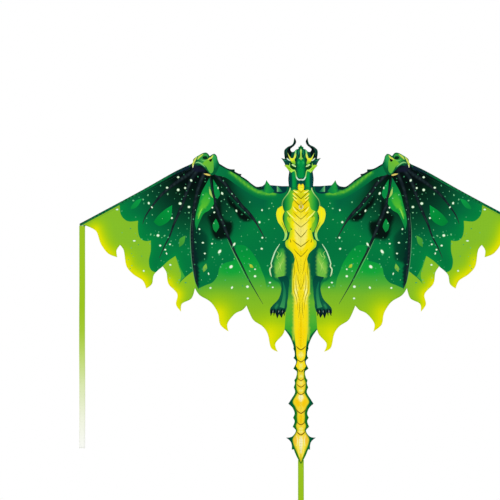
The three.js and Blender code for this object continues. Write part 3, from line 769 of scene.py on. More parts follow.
# ---- artwork of the head -------------------------------------------------------------------------
def head_layers():
    lime = flat(160, 216, 60)
    return [
        layer(outline([(80, 230)], [(80, 60)], [(-5, 60)], [(-5, 230)]),
              by_height((66, (0, 80, 60)), (110, (0, 76, 58)), (150, (0, 66, 44)), (178, (0, 84, 60)),
                        (198, (0, 100, 44)))),
        # neck
        layer(outline([(29, 58)], [(28, 84), (29, 106), (22, 112)], [(15, 96), (13, 58)]),
              by_reach((13, (0, 112, 56)), (20, (0, 152, 64)), (25, (4, 152, 76)), (29, (0, 112, 66)))),
        layer(stroke([(34, 58), (34, 86), (35, 106)], [5, 5, 3]), flat(0, 66, 66)),
        layer(stroke([(38, 58), (39, 88), (37, 110)], [3, 4, 3]), flat(4, 40, 34)),
        layer(outline([(4, 73), (9, 69), (10, 58)], [(0, 58)], [(0, 67)]),
              by_reach((0, (252, 232, 30)), (10, (250, 224, 16)))),
        layer(centred((0, 66), (5, 68), (6, 61), (0, 56)), flat(246, 250, 60), 2),
        # horns
        layer(outline([(50, 154), (52, 178), (45, 188), (30, 197), (22, 206), (22, 222)],
                      [(14, 212), (14, 200), (24, 190), (33, 182), (29, 173)], [(31, 162), (38, 156)]),
              flat(4, 18, 20)),
        layer(stroke([(46, 160), (46, 178), (38, 189), (25, 198), (19, 210)], [1, 4, 4, 3, 0.6]),
              flat(20, 72, 56)),
        layer(blob((30, 188), (38, 190), (42, 182), (36, 178)), flat(0, 4, 6), 3),
        layer(stroke([(50, 160), (51, 176), (46, 186)], [1, 3, 0.5]), flat(14, 70, 48)),
        # ears and cheeks
        layer(outline([(56, 150), (44, 148), (34, 144)], [(42, 136), (50, 133)], [(58, 142), (64, 156)]),
              between((60, 150), (40, 140), (0, (20, 90, 62)), (1, (0, 66, 56)))),
        layer(blob((45, 148), (54, 148), (58, 150), (52, 145)), flat(44, 132, 100)),
        layer(outline([(43, 133), (37, 130), (33, 124), (27, 120.5), (21, 120.5), (18, 114)],
                      [(22, 113), (27, 111), (31, 108)], [(38, 116), (46, 120), (50, 121), (53, 132)]),
              between((52, 128), (20, 114), (0, (170, 206, 50)), (0.5, (176, 232, 60)),
                      (1, (170, 240, 90)))),
        layer(stroke([(44, 129), (38, 122), (30, 116)], [3, 5, 1]), flat(130, 190, 30)),
        layer(stroke([(36, 138), (36, 130), (38, 126)], [1, 3.4, 1]), flat(150, 230, 70)),
        layer(stroke([(21, 118), (18, 112), (16, 103), (14.5, 95)], [2.5, 3.4, 3.4, 3]),
              by_height((95, (190, 232, 170)), (103, (140, 206, 90)), (118, (170, 240, 90)))),
        # face and snout
        layer(outline([(12, 150), (16, 138), (13, 126), (15.5, 113), (13.5, 100), (11, 92), (0, 89.5)],
                      [(0, 158)]),
              by_reach((0, (0, 150, 66)), (7, (0, 142, 68)), (11, (0, 116, 60)), (15, (0, 84, 44)))),
        layer(blob((3, 144), (8, 146), (12, 140), (8, 134), (4, 138)), flat(40, 180, 90), 3),
        layer(blob((3, 130), (9, 128), (10, 118), (4, 122)), flat(0, 120, 60), 3),
        layer(stroke([(14.5, 95), (11, 89), (6.5, 86), (0, 86.6)], [3, 4.4, 4.6, 4]),
              flat(204, 236, 212)),
        layer(stroke([(5, 87), (0, 87)], [2, 3]), flat(210, 206, 190)),
        layer(stroke([(10, 93), (5, 91), (0, 91)], [1, 2, 1.6]), flat(4, 60, 44)),
        layer(outline([(12, 82), (14, 70), (11, 73), (0, 74)], [(0, 83)]), flat(0, 72, 60)),
        # eyes
        layer(outline([(18, 138), (26, 142), (32, 136)], [(30, 122), (20, 118), (13, 128)]),
              flat(0, 64, 20)),
        layer(stroke([(29, 134), (22, 131), (16, 127)], [2.6, 6, 2]), flat(204, 250, 164)),
        layer(ellipse(21.5, 130.6, 2, 4, 20, 8), flat(40, 110, 50)),
        # brow branches
        layer(outline([(38, 164), (33, 156), (29, 154)], [(24, 155), (22, 160), (19, 173)],
                      [(15, 168), (16, 158), (20, 150), (18, 142), (17, 134)],
                      [(24, 136), (29, 140), (34, 147), (36, 152), (39, 160), (43, 173)]),
              by_height((134, (90, 180, 50)), (142, (150, 204, 40)), (151, (234, 236, 56)),
                        (160, (222, 238, 84)), (173, (150, 210, 110)))),
        layer(blob((30, 146), (33, 150), (29, 151), (25, 146)), flat(242, 244, 40)),
        layer(stroke([(45, 155), (40, 150), (34, 146)], [1.4, 4, 2]), flat(214, 240, 216)),
        layer(stroke([(15, 170), (17, 175), (14, 180)], [2, 5, 1]), flat(110, 214, 120)),
        layer(stroke([(13, 152), (11, 158), (12, 164)], [1, 3, 1]), flat(0, 130, 60)),
        # forehead crest
        layer(outline([(4, 190), (6, 180), (4, 172)], [(0, 172)], [(0, 200)]), flat(0, 108, 44)),
        layer(outline([(3, 178), (2, 168), (3, 158), (7, 153)], [(3, 151), (0, 147)], [(0, 185)]),
              by_height((147, (90, 150, 20)), (153, (150, 214, 90)), (166, (174, 220, 60)),
                        (184, (170, 220, 110)))),
        layer(stroke([(0, 181), (2, 176)], [3, 1]), flat(176, 226, 120)),
        layer(stroke([(9, 180), (7, 172), (9, 164)], [1, 3, 1]), flat(20, 136, 90)),
        layer(stroke([(36, 124), (42, 127), (49, 130)], [0.5, 1.6, 0.5]), lime),
    ]


# ---- artwork of the tail -------------------------------------------------------------------------
def tail_layers():
    core = outline([(10, -522), (10, -542)], [(15, -556), (14, -574), (10, -586)],
                   [(16, -596), (26, -616), (18, -632), (12, -650)], [(13, -664), (11, -680)],
                   [(16, -691), (12, -706)], [(18, -718), (26, -734), (22, -754), (10, -782), (0, -808)],
                   [(0, -518)])
    gold = (250, 206, 14)
    layers = [
        layer(outline([(60, -500)], [(60, -830)], [(0, -830)], [(0, -500)]),
              by_reach((8, (60, 130, 20)), (16, (14, 112, 34)), (24, (0, 110, 46)), (32, (0, 84, 56)),
                       (44, (4, 52, 50)))),
        layer(core, beside(core, (0, (160, 176, 20)), (2.4, (236, 214, 40)), (6, (250, 220, 50)),
                           (12, (253, 222, 60)))),
        layer(centred((0, -590), (8, -594), (10, -606), (5, -614), (0, -618)), flat(255, 250, 190), 5),
        layer(blob((12, -604), (22, -614), (16, -628), (6, -636), (0, -622), (4, -612)), flat(*gold), 5),
        layer(centred((0, -652), (9, -660), (8, -682), (0, -688)), flat(250, 208, 20, 0.9), 4),
        layer(centred((0, -722), (6, -726), (9, -742), (7, -762), (0, -784)), flat(255, 248, 190), 5),
        layer(blob((15, -716), (24, -732), (21, -752), (13, -748), (12, -730)), flat(252, 196, 60), 5),
        layer(stroke([(9, -742), (9, -764), (5, -790)], [2, 4, 1.6]), flat(250, 240, 90)),
        layer(stroke([(14, -722), (11, -738), (13, -756)], [1, 2.4, 1]), flat(255, 244, 170)),
    ]
    for z in (-534, -557, -580, -700, -710):
        layers.append(layer(centred((0, z + 6), (7, z + 2), (6, z - 4), (0, z - 6)),
                            flat(255, 248, 130, 0.9), 3))
    grooves = [(-549, (12, -540), 2.6), (-570, (14, -559), 2.8), (-594, (13, -584), 3),
               (-653, (17, -637), 3.6), (-689, (13, -679), 3.2), (-721, (14, -709), 3.6)]
    for point, end, wide in grooves:
        layers.append(layer(groove(point, end, 0.4, [1.4, wide, wide]), flat(*BARK)))
    return layers


# ---- cloth ---------------------------------------------------------------------------------------
def to_linear(rgb):
    c = np.clip(rgb, 0, 255) / 255
    return np.where(c <= 0.04045, c / 12.92, ((c + 0.055) / 1.055) ** 2.4)


def printed(points, faces, layers):
    """The colour of every face's three corners, laying the layers over each other."""
    middles = points[faces].mean(1)
    corners = points[faces].reshape(-1, 2)
    colour = np.full((len(corners), 3), 200.0)
    for part in layers:
        shape, soft = part["shape"], part["soft"]
        if soft:
            low, high = shape.min(0), shape.max(0)
            near = np.flatnonzero(((corners > low) & (corners < high)).all(1))
            near = near[inside(corners[near], shape)]
            cover = np.clip(distance(corners[near], shape, closed=True) / soft, 0, 1)
            cover = cover * cover * (3 - 2 * cover)
        else:
            near = np.flatnonzero(np.repeat(inside(middles, shape), 3))
            cover = np.ones(len(near))
        if len(near):
            paint = part["paint"](corners[near])
            cover = (cover * paint[:, 3])[:, None]
            colour[near] = colour[near] * (1 - cover) + paint[:, :3] * cover
    return to_linear(colour)


def twice_area(a, b, c):
    """Of each triangle, positive where its corners go round anticlockwise."""
    return (b[:, 0] - a[:, 0]) * (c[:, 1] - a[:, 1]) - (b[:, 1] - a[:, 1]) * (c[:, 0] - a[:, 0])


def finely(loop, spacing):
    """The same closed loop with no step longer than the spacing."""
    steps = []
    for a, b in zip(loop, np.roll(loop, -1, 0)):
        count = max(1, math.ceil(np.linalg.norm(b - a) / spacing))
        steps += [a + (b - a) * k / count for k in range(count)]
    return np.array(steps)


def cut_cloth(edge, layers, spacing):
    """Points and triangles of a flat sheet with a cut along its edge and along each crisp layer."""
    edge = finely(edge, spacing)
    loops = [edge] + [finely(part["shape"], spacing) for part in layers if not part["soft"]]
    low, high = edge.min(0), edge.max(0)
    # rows of even triangles between the cuts
    grid = []
    for k, z in enumerate(np.arange(low[1] + spacing / 2, high[1], spacing * 0.866)):
        grid += [(x, z) for x in np.arange(low[0] + spacing * (0.25 + 0.5 * (k % 2)), high[0], spacing)]
    grid = np.array(grid)
    grid = grid[inside(grid, edge)]
    grid = grid[distance(grid, edge, closed=True) > spacing * 0.3]
    coords, links = [], []
    for loop in loops:
        if loop is not edge and not inside(loop, edge).any():
            continue
        first, count = len(coords), len(loop)
        coords += [tuple(p) for p in loop]
        links += [(first + k, first + (k + 1) % count) for k in range(count)]
    coords += [tuple(p) for p in grid]
    made = delaunay_2d_cdt([Vector(c) for c in coords], links, [], 0, 0.01, False)
    points = np.array([tuple(v) for v in made[0]])
    faces = np.array(made[2])
    faces = faces[inside(points[faces].mean(1), edge)]
    area = twice_area(*(points[faces[:, k]] for k in range(3)))
    real = np.abs(area) > 1e-4
    faces, area = faces[real], area[real]
    faces[area < 0] = faces[area < 0][:, ::-1]
    return points, faces


def new_piece(name, mesh, *materials):
    """A smooth object of that mesh."""
    for polygon in mesh.polygons:
        polygon.use_smooth = True
    for material in materials:
        mesh.materials.append(material)
    piece = bpy.data.objects.new(name, mesh)
    bpy.context.collection.objects.link(piece)
    return piece


def thicken(piece, thick, offset):
    """Give a sheet its thickness: behind its face with offset -1, to both sides with 0."""
    body = piece.modifiers.new("thickness", "SOLIDIFY")
    body.thickness = thick * MM
    body.offset = offset
    return body


def cloth_object(name, points, faces, colours, side, depth, thick=0.35):
    """A sheet in the XZ plane, facing -Y, with its print and its flat pattern as a UV map."""
    used = np.unique(faces)
    order = np.full(len(points), -1)
    order[used] = np.arange(len(used))
    points, faces = points[used], order[faces]
    vertices = np.stack((side * points[:, 0], depth(points), points[:, 1]), 1) * MM
    if side < 0:
        faces = faces[:, ::-1]
        colours = colours.reshape(-1, 3, 3)[:, ::-1].reshape(-1, 3)
    mesh = bpy.data.meshes.new(name)
    mesh.from_pydata(vertices.tolist(), [], faces.tolist())
    ink = mesh.color_attributes.new("print", "FLOAT_COLOR", "CORNER")
    ink.data.foreach_set("color", np.hstack((colours, np.ones((len(colours), 1)))).ravel())
    pattern = mesh.uv_layers.new(name="pattern")
    pattern.data.foreach_set("uv", (points[faces].reshape(-1, 2) * MM * (side, 1)).ravel())
    sheet = new_piece(name, mesh, FRONT, BACK)
    thicken(sheet, thick, -1).material_offset = 1
    return sheet


# ---- materials -----------------------------------------------------------------------------------
def new_material(name, roughness, **sockets):
    material = bpy.data.materials.new(name)
    material.use_nodes = True
    shader = material.node_tree.nodes["Principled BSDF"]
    shader.inputs["Roughness"].default_value = roughness
    for socket, value in sockets.items():
        shader.inputs[socket.replace("_", " ")].default_value = value
    return material, material.node_tree, shader


def node(tree, kind, **settings):
    made = tree.nodes.new(kind)
    for key, value in settings.items():
        setattr(made, key, value)
    return made


def maths(tree, operation, first, second=None, third=None):
    made = node(tree, "ShaderNodeMath", operation=operation)
    for socket, value in zip(made.inputs, (first, second, third)):
        if value is None:
            continue
        if isinstance(value, (int, float)):
            socket.default_value = value
        else:
            tree.links.new(value, socket)
    return made.outputs[0]


def roughen(tree, shader, height, strength, deep):
    """Make the surface uneven: height is a node's output, and deep is how far 1 stands out."""
    bump = node(tree, "ShaderNodeBump")
    bump.inputs["Strength"].default_value = strength
    bump.inputs["Distance"].default_value = deep
    tree.links.new(height, bump.inputs["Height"])
    tree.links.new(bump.outputs["Normal"], shader.inputs["Normal"])


def cloth_pattern(tree):
    """The flat pattern's coordinates, whole and split into x and y."""
    pattern = node(tree, "ShaderNodeUVMap", uv_map="pattern")
    split = node(tree, "ShaderNodeSeparateXYZ")
    tree.links.new(pattern.outputs[0], split.inputs[0])
    return pattern.outputs[0], split.outputs["X"], split.outputs["Y"]


def noise(tree, where, scale, detail=2):
    made = node(tree, "ShaderNodeTexNoise")
    made.inputs["Scale"].default_value = scale
    made.inputs["Detail"].default_value = detail
    tree.links.new(where, made.inputs["Vector"])
    return made.outputs["Fac"]


def blended(tree, share, first, second, **settings):
    """A colour between two; the share and the colours are values or other nodes' outputs."""
    mix = node(tree, "ShaderNodeMix", data_type="RGBA", **settings)
    for socket, value in ((mix.inputs[0], share), (mix.inputs[6], first), (mix.inputs[7], second)):
        if isinstance(value, bpy.types.NodeSocket):
            tree.links.new(value, socket)
        else:
            socket.default_value = value
    return mix.outputs[2]


def absolute_sine(tree, value, pitch):
    """Ripples of that pitch: 0 at every multiple of it, 1 half way between."""
    angle = maths(tree, "MULTIPLY", value, math.pi / pitch)
    return maths(tree, "ABSOLUTE", maths(tree, "SINE", angle))


def weave(tree):
    """A ripstop weave's height, its thicker threads alone, and the cloth's pattern coordinates."""
    pattern, x, y = cloth_pattern(tree)
    ribs = [maths(tree, "POWER", absolute_sine(tree, value, RIPSTOP_PITCH), 14) for value in (x, y)]
    rib = maths(tree, "MAXIMUM", *ribs)
    grain = noise(tree, pattern, 900)
    return maths(tree, "MULTIPLY_ADD", grain, 0.35, maths(tree, "MULTIPLY", rib, 0.6)), rib, pattern


def ripstop(name, fade=0.0):
    """Printed ripstop; fade is how much of the bare cloth shows through the print, more on the back."""
    material, tree, shader = new_material(name, 0.52)
    shader.inputs["Specular IOR Level"].default_value = 0.02
    height, rib, pattern = weave(tree)
    ink = node(tree, "ShaderNodeVertexColor", layer_name="print")
    cloud = noise(tree, pattern, 14, 5)
    wash = blended(tree, fade, ink.outputs["Color"], (0.62, 0.72, 0.58, 1))
    tone = node(tree, "ShaderNodeHueSaturation")
    tree.links.new(wash, tone.inputs["Color"])
    tree.links.new(maths(tree, "MULTIPLY_ADD", cloud, 0.06, 0.92), tone.inputs["Value"])
    thread = maths(tree, "MULTIPLY", rib, 0.22)
    colour = blended(tree, thread, tone.outputs["Color"], (0.72, 0.78, 0.74, 1), blend_type="MULTIPLY")
    tree.links.new(colour, shader.inputs["Base Color"])
    tree.links.new(maths(tree, "MULTIPLY_ADD", cloud, 0.12, 0.46), shader.inputs["Roughness"])
    roughen(tree, shader, height, 0.35, 0.0002)
    return material


FRONT = ripstop("ripstop_front")
BACK = ripstop("ripstop_back", fade=0.22)


# ---- how the cloth lies: y of the printed face, in millimetres -----------------------------------
def smooth_step(x, low, high):
    t = np.clip((x - low) / (high - low), 0, 1)
    return t * t * (3 - 2 * t)


def wing_depth(points):
    """Flat over the rods, a little full between them, rippled towards the flames."""
    x, z = points[:, 0], points[:, 1]
    fullness = smooth_step(distance(points, curve(LEADING_EDGE)), 8, 160) * smooth_step(x, 6, 120)
    hollow = 3.2 * fullness * np.exp(-(((z + 90) / 190) ** 2))
    fan = np.arctan2(z - 125, x - 345)
    reach = np.hypot(x - 345, z - 125)
    folds = 0.9 * np.sin(fan * 13) * np.exp(-reach / 260) * smooth_step(reach, 10, 60)
    loose = smooth_step(-z - 0.25 * (700 - x), 60, 260) * smooth_step(x, 20, 80)
    flutter = loose * (1.7 * np.sin(x / 17 + z / 60) + 1.1 * np.sin(x / 41 - z / 33))
    return SAIL_Y - 0.2 + hollow + folds * fullness + flutter


def head_depth(points):
    """The neck's lower edge lies in front of the sail it is sewn to."""
    return SAIL_Y - 0.2 - 0.45 * (1 - smooth_step(points[:, 1], NECK_SEAM_Z, NECK_SEAM_Z + 8))


def tail_depth(points):
    """So does the tail's upper edge."""
    return SAIL_Y - 0.2 - 0.45 * smooth_step(points[:, 1], TAIL_HINGE_Z - 6, TAIL_HINGE_Z)


def flat_pattern(points, faces):
    """Width and length of the cloth the sheet is cut from, and the area that is left, in metres."""
    used = points[np.unique(faces)]
    width, length = (used.max(0) - used.min(0)) * MM
    a, b, c = (points[faces[:, k]] for k in range(3))
    return (float(width), float(length)), float(np.abs(twice_area(a, b, c)).sum() / 2 * MM * MM)


def stand_for(node_name):
    """Hide the CAD node that a piece takes the place of."""
    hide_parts(node_name)


def place(piece, body, node_name):
    """Fix a piece to one body, in place of a CAD node."""
    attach(piece, body)
    stand_for(node_name)


def fold_with_wing(piece):
    """Bake the piece's placement into its mesh."""
    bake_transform(piece)


def make_sails(threads):
    """Both wings and both halves of the head."""
    wing_art, head_art = wing_layers(), head_layers()
    wing_edge, head_edge = outline(*WING), outline(*HEAD)
    wing_cut = cut_cloth(wing_edge, wing_art, 7)
    head_cut = cut_cloth(head_edge, head_art, 4)
    wing_ink = printed(*wing_cut, wing_art)
    head_ink = printed(*head_cut, head_art)
    for name, side in SIDES.items():
        wing_rods = [f"{name}_spreader", f"{name}_edge_rod"]
        for part, cut, ink, depth, rods, pieces in (
            ("wing", wing_cut, wing_ink, wing_depth, wing_rods, threads[name]),
            ("head", head_cut, head_ink, head_depth, ["spine_rod_upper"], []),
        ):
            sail = cloth_object(f"{name}_{part}_sail", *cut, ink, side, depth)
            fold_with_wing(sail)
            stand_for(f"{name}_{part}_panel")
            flat, area = flat_pattern(*cut)
            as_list(rods)
            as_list(pieces)


def make_tail():
    """One piece of cloth, its second half mirrored from the first."""
    art = tail_layers()
    points, faces = cut_cloth(outline(*TAIL), art, 5)
    ink = printed(points, faces, art)
    both = np.vstack((points, mirrored(points)))
    both_faces = np.vstack((faces, faces[:, ::-1] + len(points)))
    both_ink = np.vstack((ink, ink.reshape(-1, 3, 3)[:, ::-1].reshape(-1, 3)))
    tail = cloth_object("tail_sail", both, both_faces, both_ink, 1, tail_depth)
    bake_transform(tail)
    stand_for("tail_panel")
    flat, area = flat_pattern(both, both_faces)


def ribbon_depth(hem, behind):
    """The lay of a ribbon that is sewn on at the hem's height, that far behind the sail."""
    def depth(points):
        down = np.clip(hem - points[:, 1], 0, None)
        held = behind * (1 - smooth_step(down, 0, 30))
        waves = 3 * np.sin(down / 70) + 0.4 * np.sin(down / 23)
        return SAIL_Y + held + smooth_step(down, 0, 300) * waves
    return depth


def make_ribbons():
    """Three ribbons, lime at the top and fading to white."""
    fade = [(0, RIBBON_LIME), (250, RIBBON_LIME), (330, (166, 203, 54)), (400, (190, 218, 106)),
            (500, (221, 235, 178)), (600, (243, 247, 224)), (690, (252, 253, 246))]
    rows, columns = 140, 4
    faces = []
    for r in range(rows):
        for c in range(columns):
            a = r * (columns + 1) + c
            faces += [(a, a + columns + 1, a + columns + 2), (a, a + columns + 2, a + 1)]
    faces = np.array(faces)
    for name, parent, lap, behind in (
        ("left", "left_wing", 3, 0.5),
        ("right", "right_wing", 3, 0.5),
        ("centre", "tail", 14, 2.4),
    ):
        low, high = (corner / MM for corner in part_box(f"{name}_ribbon"))
        x, hem, length = (low.x + high.x) / 2, high.z, high.z - low.z
        zs = np.linspace(hem + lap, hem - length, rows + 1)
        us = np.linspace(-0.5, 0.5, columns + 1)
        points = np.array([(x + u * RIBBON_WIDTH, z) for z in zs for u in us])
        fall = hem - points[faces].reshape(-1, 2)[:, 1]
        ink = to_linear(ramp(fall, fade)[:, :3])
        depth = ribbon_depth(hem, behind)
        strip = cloth_object(f"{name}_ribbon_cloth", points, faces, ink, 1, depth, thick=0.25)
        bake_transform(strip)
        stand_for(f"{name}_ribbon")


# ---- webbing, sleeves and stitching --------------------------------------------------------------
def webbing(name, colour):
    """Woven polyester tape: threads both ways, with painted shade between them."""
    material, tree, shader = new_material(name, 0.85)
    shader.inputs["Specular IOR Level"].default_value = 0.2
    pattern, x, y = cloth_pattern(tree)
    slanting = maths(tree, "MULTIPLY_ADD", x, 0.5, y)
    upright, slanted = absolute_sine(tree, x, 0.0011), absolute_sine(tree, slanting, 0.0014)
    height = maths(tree, "MULTIPLY", upright, slanted)
    fuzz = maths(tree, "MULTIPLY", noise(tree, pattern, 160, 6), 0.5)
    dark, light = (*(0.45 * c for c in colour), 1), (*(min(1, 1.25 * c) for c in colour), 1)
    # painted shade: darker between the threads, following the weave's height, plus random fuzz in the
    # tone
    painted_shade_and_fuzz = blended(tree, maths(tree, "MULTIPLY_ADD", height, 0.7, fuzz), dark, light)
    tree.links.new(painted_shade_and_fuzz, shader.inputs["Base Color"])
    roughen(tree, shader, height, 0.7, 0.0003)
    return material


def plain_ripstop(name, colour):
    """Dyed ripstop without a print."""
    material, tree, shader = new_material(name, 0.55)
    shader.inputs["Specular IOR Level"].default_value = 0.15
    height, rib, pattern = weave(tree)
    dark, light = (*(0.8 * c for c in colour), 1), (*(1.15 * c for c in colour), 1)
    share = maths(tree, "MULTIPLY_ADD", rib, -0.3, noise(tree, pattern, 30))
    tree.links.new(blended(tree, share, dark, light), shader.inputs["Base Color"])
    roughen(tree, shader, height, 0.4, 0.0002)
    return material


WEBBING = webbing("webbing", (0.03, 0.21, 0.11))
TOW_WEBBING = webbing("tow_webbing", (0.85, 0.68, 0.04))
SLEEVE = plain_ripstop("sleeve_cloth", (0.01, 0.20, 0.10))
THREAD = new_material("thread_green", 0.7, Base_Color=(0.0, 0.08, 0.045, 1))[0]
GOLD_THREAD = new_material("thread_gold", 0.7, Base_Color=(0.8, 0.64, 0.04, 1))[0]


def woven(name, rows, material, thick):
    """A strip of cloth through rows of points in millimetres, with its flat pattern as a UV map."""
    rows = np.array(rows, float)
    count, wide = rows.shape[:2]
    steps = np.linalg.norm(np.diff(rows, axis=1), axis=2)
    across = np.concatenate((np.zeros((count, 1)), steps.cumsum(1)), 1)
    middle = rows[:, wide // 2]
    along = np.concatenate(((0,), np.linalg.norm(np.diff(middle, axis=0), axis=1).cumsum()))
    faces = []
    for r in range(count - 1):
        for c in range(wide - 1):
            a = r * wide + c
            faces.append((a, a + 1, a + wide + 1, a + wide))
    mesh = bpy.data.meshes.new(name)
    mesh.from_pydata((rows.reshape(-1, 3) * MM).tolist(), [], faces)
    flat_uv = np.stack((across, np.repeat(along[:, None], wide, 1)), 2).reshape(-1, 2) * MM
    pattern = mesh.uv_layers.new(name="pattern")
    pattern.data.foreach_set("uv", flat_uv[np.array(faces)].ravel())
    strip = new_piece(name, mesh, material)
    thicken(strip, thick, 0)
    strip["width"] = float(across[:, -1].mean()) * MM
    strip["length"] = float(along[-1]) * MM
    return strip


def strap_over_rod(name, start, end, rod_y, rod_r, flanges, base, close=0.0):
    """Webbing over a rod that runs from start to end (x, z), with a sewn flange on each side.

    close is the length over which it comes down past the rod's end.
    """
    start, end = np.array(start, float), np.array(end, float)
    length = np.linalg.norm(end - start)
    along = (end - start) / length
    across = np.array((-along[1], along[0]))
    r = rod_r + 0.5
    arc = [(r * math.cos(a), rod_y + r * math.sin(a)) for a in np.linspace(math.pi, 0, 9)]
    low = base + 0.35 * (rod_y - base)
    section = [(-flanges[0], base), (-flanges[0] + 1.6, base), (-r - 1.6, base + 0.1), (-r - 0.3, low)]
    section += arc + [(r + 0.3, low), (r + 1.6, base + 0.1), (flanges[1] - 1.6, base), (flanges[1], base)]
    rows = []
    stations = list(np.linspace(0, length - close, 9))
    if close:
        stations += list(length - close + close * np.sin(np.linspace(0.2, math.pi / 2, 6)))
    for v in stations:
        past = max(0.0, v - (length - close)) / close if close else 0.0
        height = math.sqrt(max(0.0, 1 - past * past))
        spot = start + along * v
        rows.append([(*(spot + across * u), base + (y - base) * height) for u, y in section])
    rows = np.array(rows)[:, :, (0, 2, 1)]
    return woven(name, rows, WEBBING, 0.8)


def edge_point(side, along, inset=EDGE_INSET):
    """A point (x, z) that far along the leading edge from the wing tip and that far inside it."""
    heading = EDGE_WRIST - EDGE_TIP
    heading = heading / np.linalg.norm(heading)
    spot = EDGE_TIP + heading * along + np.array((-heading[1], heading[0])) * inset
    return np.array((side * spot[0], spot[1]))


def stitches(name, paths, material, face=-1, pitch=4.2, length=3.0):
    """Lines of short thread bars along paths of points in millimetres, standing out towards face * Y."""
    vertices, faces = [], []
    for path in paths:
        path = np.array(path, float)
        steps = np.linalg.norm(np.diff(path, axis=0), axis=1)
        gone = np.concatenate(((0,), steps.cumsum()))
        for begin in np.arange(0.5, gone[-1] - length, pitch):
            spots = begin + length * np.array((0, 0.2, 0.8, 1))
            points = np.stack([np.interp(spots, gone, path[:, k]) for k in range(3)], 1)
            heading = points[3] - points[0]
            heading = heading / np.linalg.norm(heading)
            out = np.array((0, face, 0), float)
            aside = np.cross(heading, out)
            first = len(vertices)
            vertices.append(points[0])
            for p in points[1:3]:
                vertices += [p - aside * 0.32, p + out * 0.34, p + aside * 0.32]
            vertices.append(points[3])
            a, b, c, d, e, f, g = range(first + 1, first + 8)
            faces += [(first, a, b), (first, b, c), (first, c, a), (a, d, e, b), (b, e, f, c),
                      (c, f, d, a), (g, e, d), (g, f, e), (g, d, f)]
    mesh = bpy.data.meshes.new(name)
    mesh.from_pydata((np.array(vertices) * MM).tolist(), [], faces)
    mesh.update()
    return new_piece(name, mesh, material)


def make_spine_cloth():
    """The tape down the back of the sail, its keepers and pockets, and the tow tab at the front."""
    rows = []
    for z in np.linspace(CREST_Z - 8, TAIL_HINGE_Z + 2, 180):
        rows.append([(x, BACK_Y + 0.35 + 0.08 * math.sin(z / 9 + x), z) for x in np.linspace(-8, 8, 7)])
    tape = woven("spine_tape", rows, WEBBING, 0.5)
    place(tape, "frame", "spine_panel")

    path = [(FRONT_Y - 0.7, 18), (FRONT_Y - 0.7, 9.5), (FRONT_Y - 1.6, 7.6), (11, 6.9), (3.4, 6.7)]
    path += [(3.1 * math.cos(a), 6 + 3.1 * math.sin(a)) for a in np.linspace(0.5, 2 * math.pi - 0.5, 14)]
    path += [(3.4, 5.3), (11, 5.1), (FRONT_Y - 1.6, 4.4), (FRONT_Y - 0.7, 2.5), (FRONT_Y - 0.7, -6)]
    tab = woven("tow_loop", [[(x, y, z) for x in np.linspace(-3.5, 3.5, 4)] for y, z in path],
                TOW_WEBBING, 0.8)
    place(tab, "frame", "tow_tab")
    boxes = []
    for low, high in ((9.5, 17.5), (-5.5, 2.5)):
        y = FRONT_Y - 1.15
        round_it = [(-2.7, y, low), (2.7, y, low), (2.7, y, high), (-2.7, y, high), (-2.7, y, low)]
        boxes.append([*round_it, (2.7, y, high)])
    box_stitch = stitches("tow_stitching", boxes, GOLD_THREAD, pitch=2.2, length=1.6)
    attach(box_stitch, "frame")

    y = BACK_Y + 0.7
    lines = [[(x, y, CREST_Z - 12), (x, y, TAIL_HINGE_Z + 4)] for x in (-6.6, 6.6)]
    for z in KEEPER_HEIGHTS.values():
        lines += [[(x, y + 1.0, z - 5.5), (x, y + 1.0, z + 5.5)] for x in (-7, 7)]
    tape_stitch = stitches("spine_stitching", lines, THREAD, face=1)
    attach(tape_stitch, "frame")

    on_tape = BACK_Y + 1.1
    for height, z in KEEPER_HEIGHTS.items():
        strap = strap_over_rod(f"keeper_{height}", (0, z - 6), (0, z + 6), SPINE_Y, SPINE_R, (8.4, 8.4),
                               on_tape)
        place(strap, "frame", f"spine_keeper_{height}")
    for tip, start, end in (("nose", 162, 190.5), ("tail", -479, -507.5)):
        strap = strap_over_rod(f"{tip}_pocket_strap", (0, start), (0, end), SPINE_Y, SPINE_R, (7.6, 7.6),
                               on_tape, close=4)
        place(strap, "frame", f"{tip}_pocket")

    rows = []
    for z in np.linspace(TAIL_HINGE_Z + 12, TAIL_HINGE_Z - 12, 25):
        rows.append([(x, BACK_Y + 0.45, z) for x in np.linspace(-6, 6, 5)])
    link = woven("tail_link_strap", rows, WEBBING, 0.5)
    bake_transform(link)
    stand_for("tail_link")


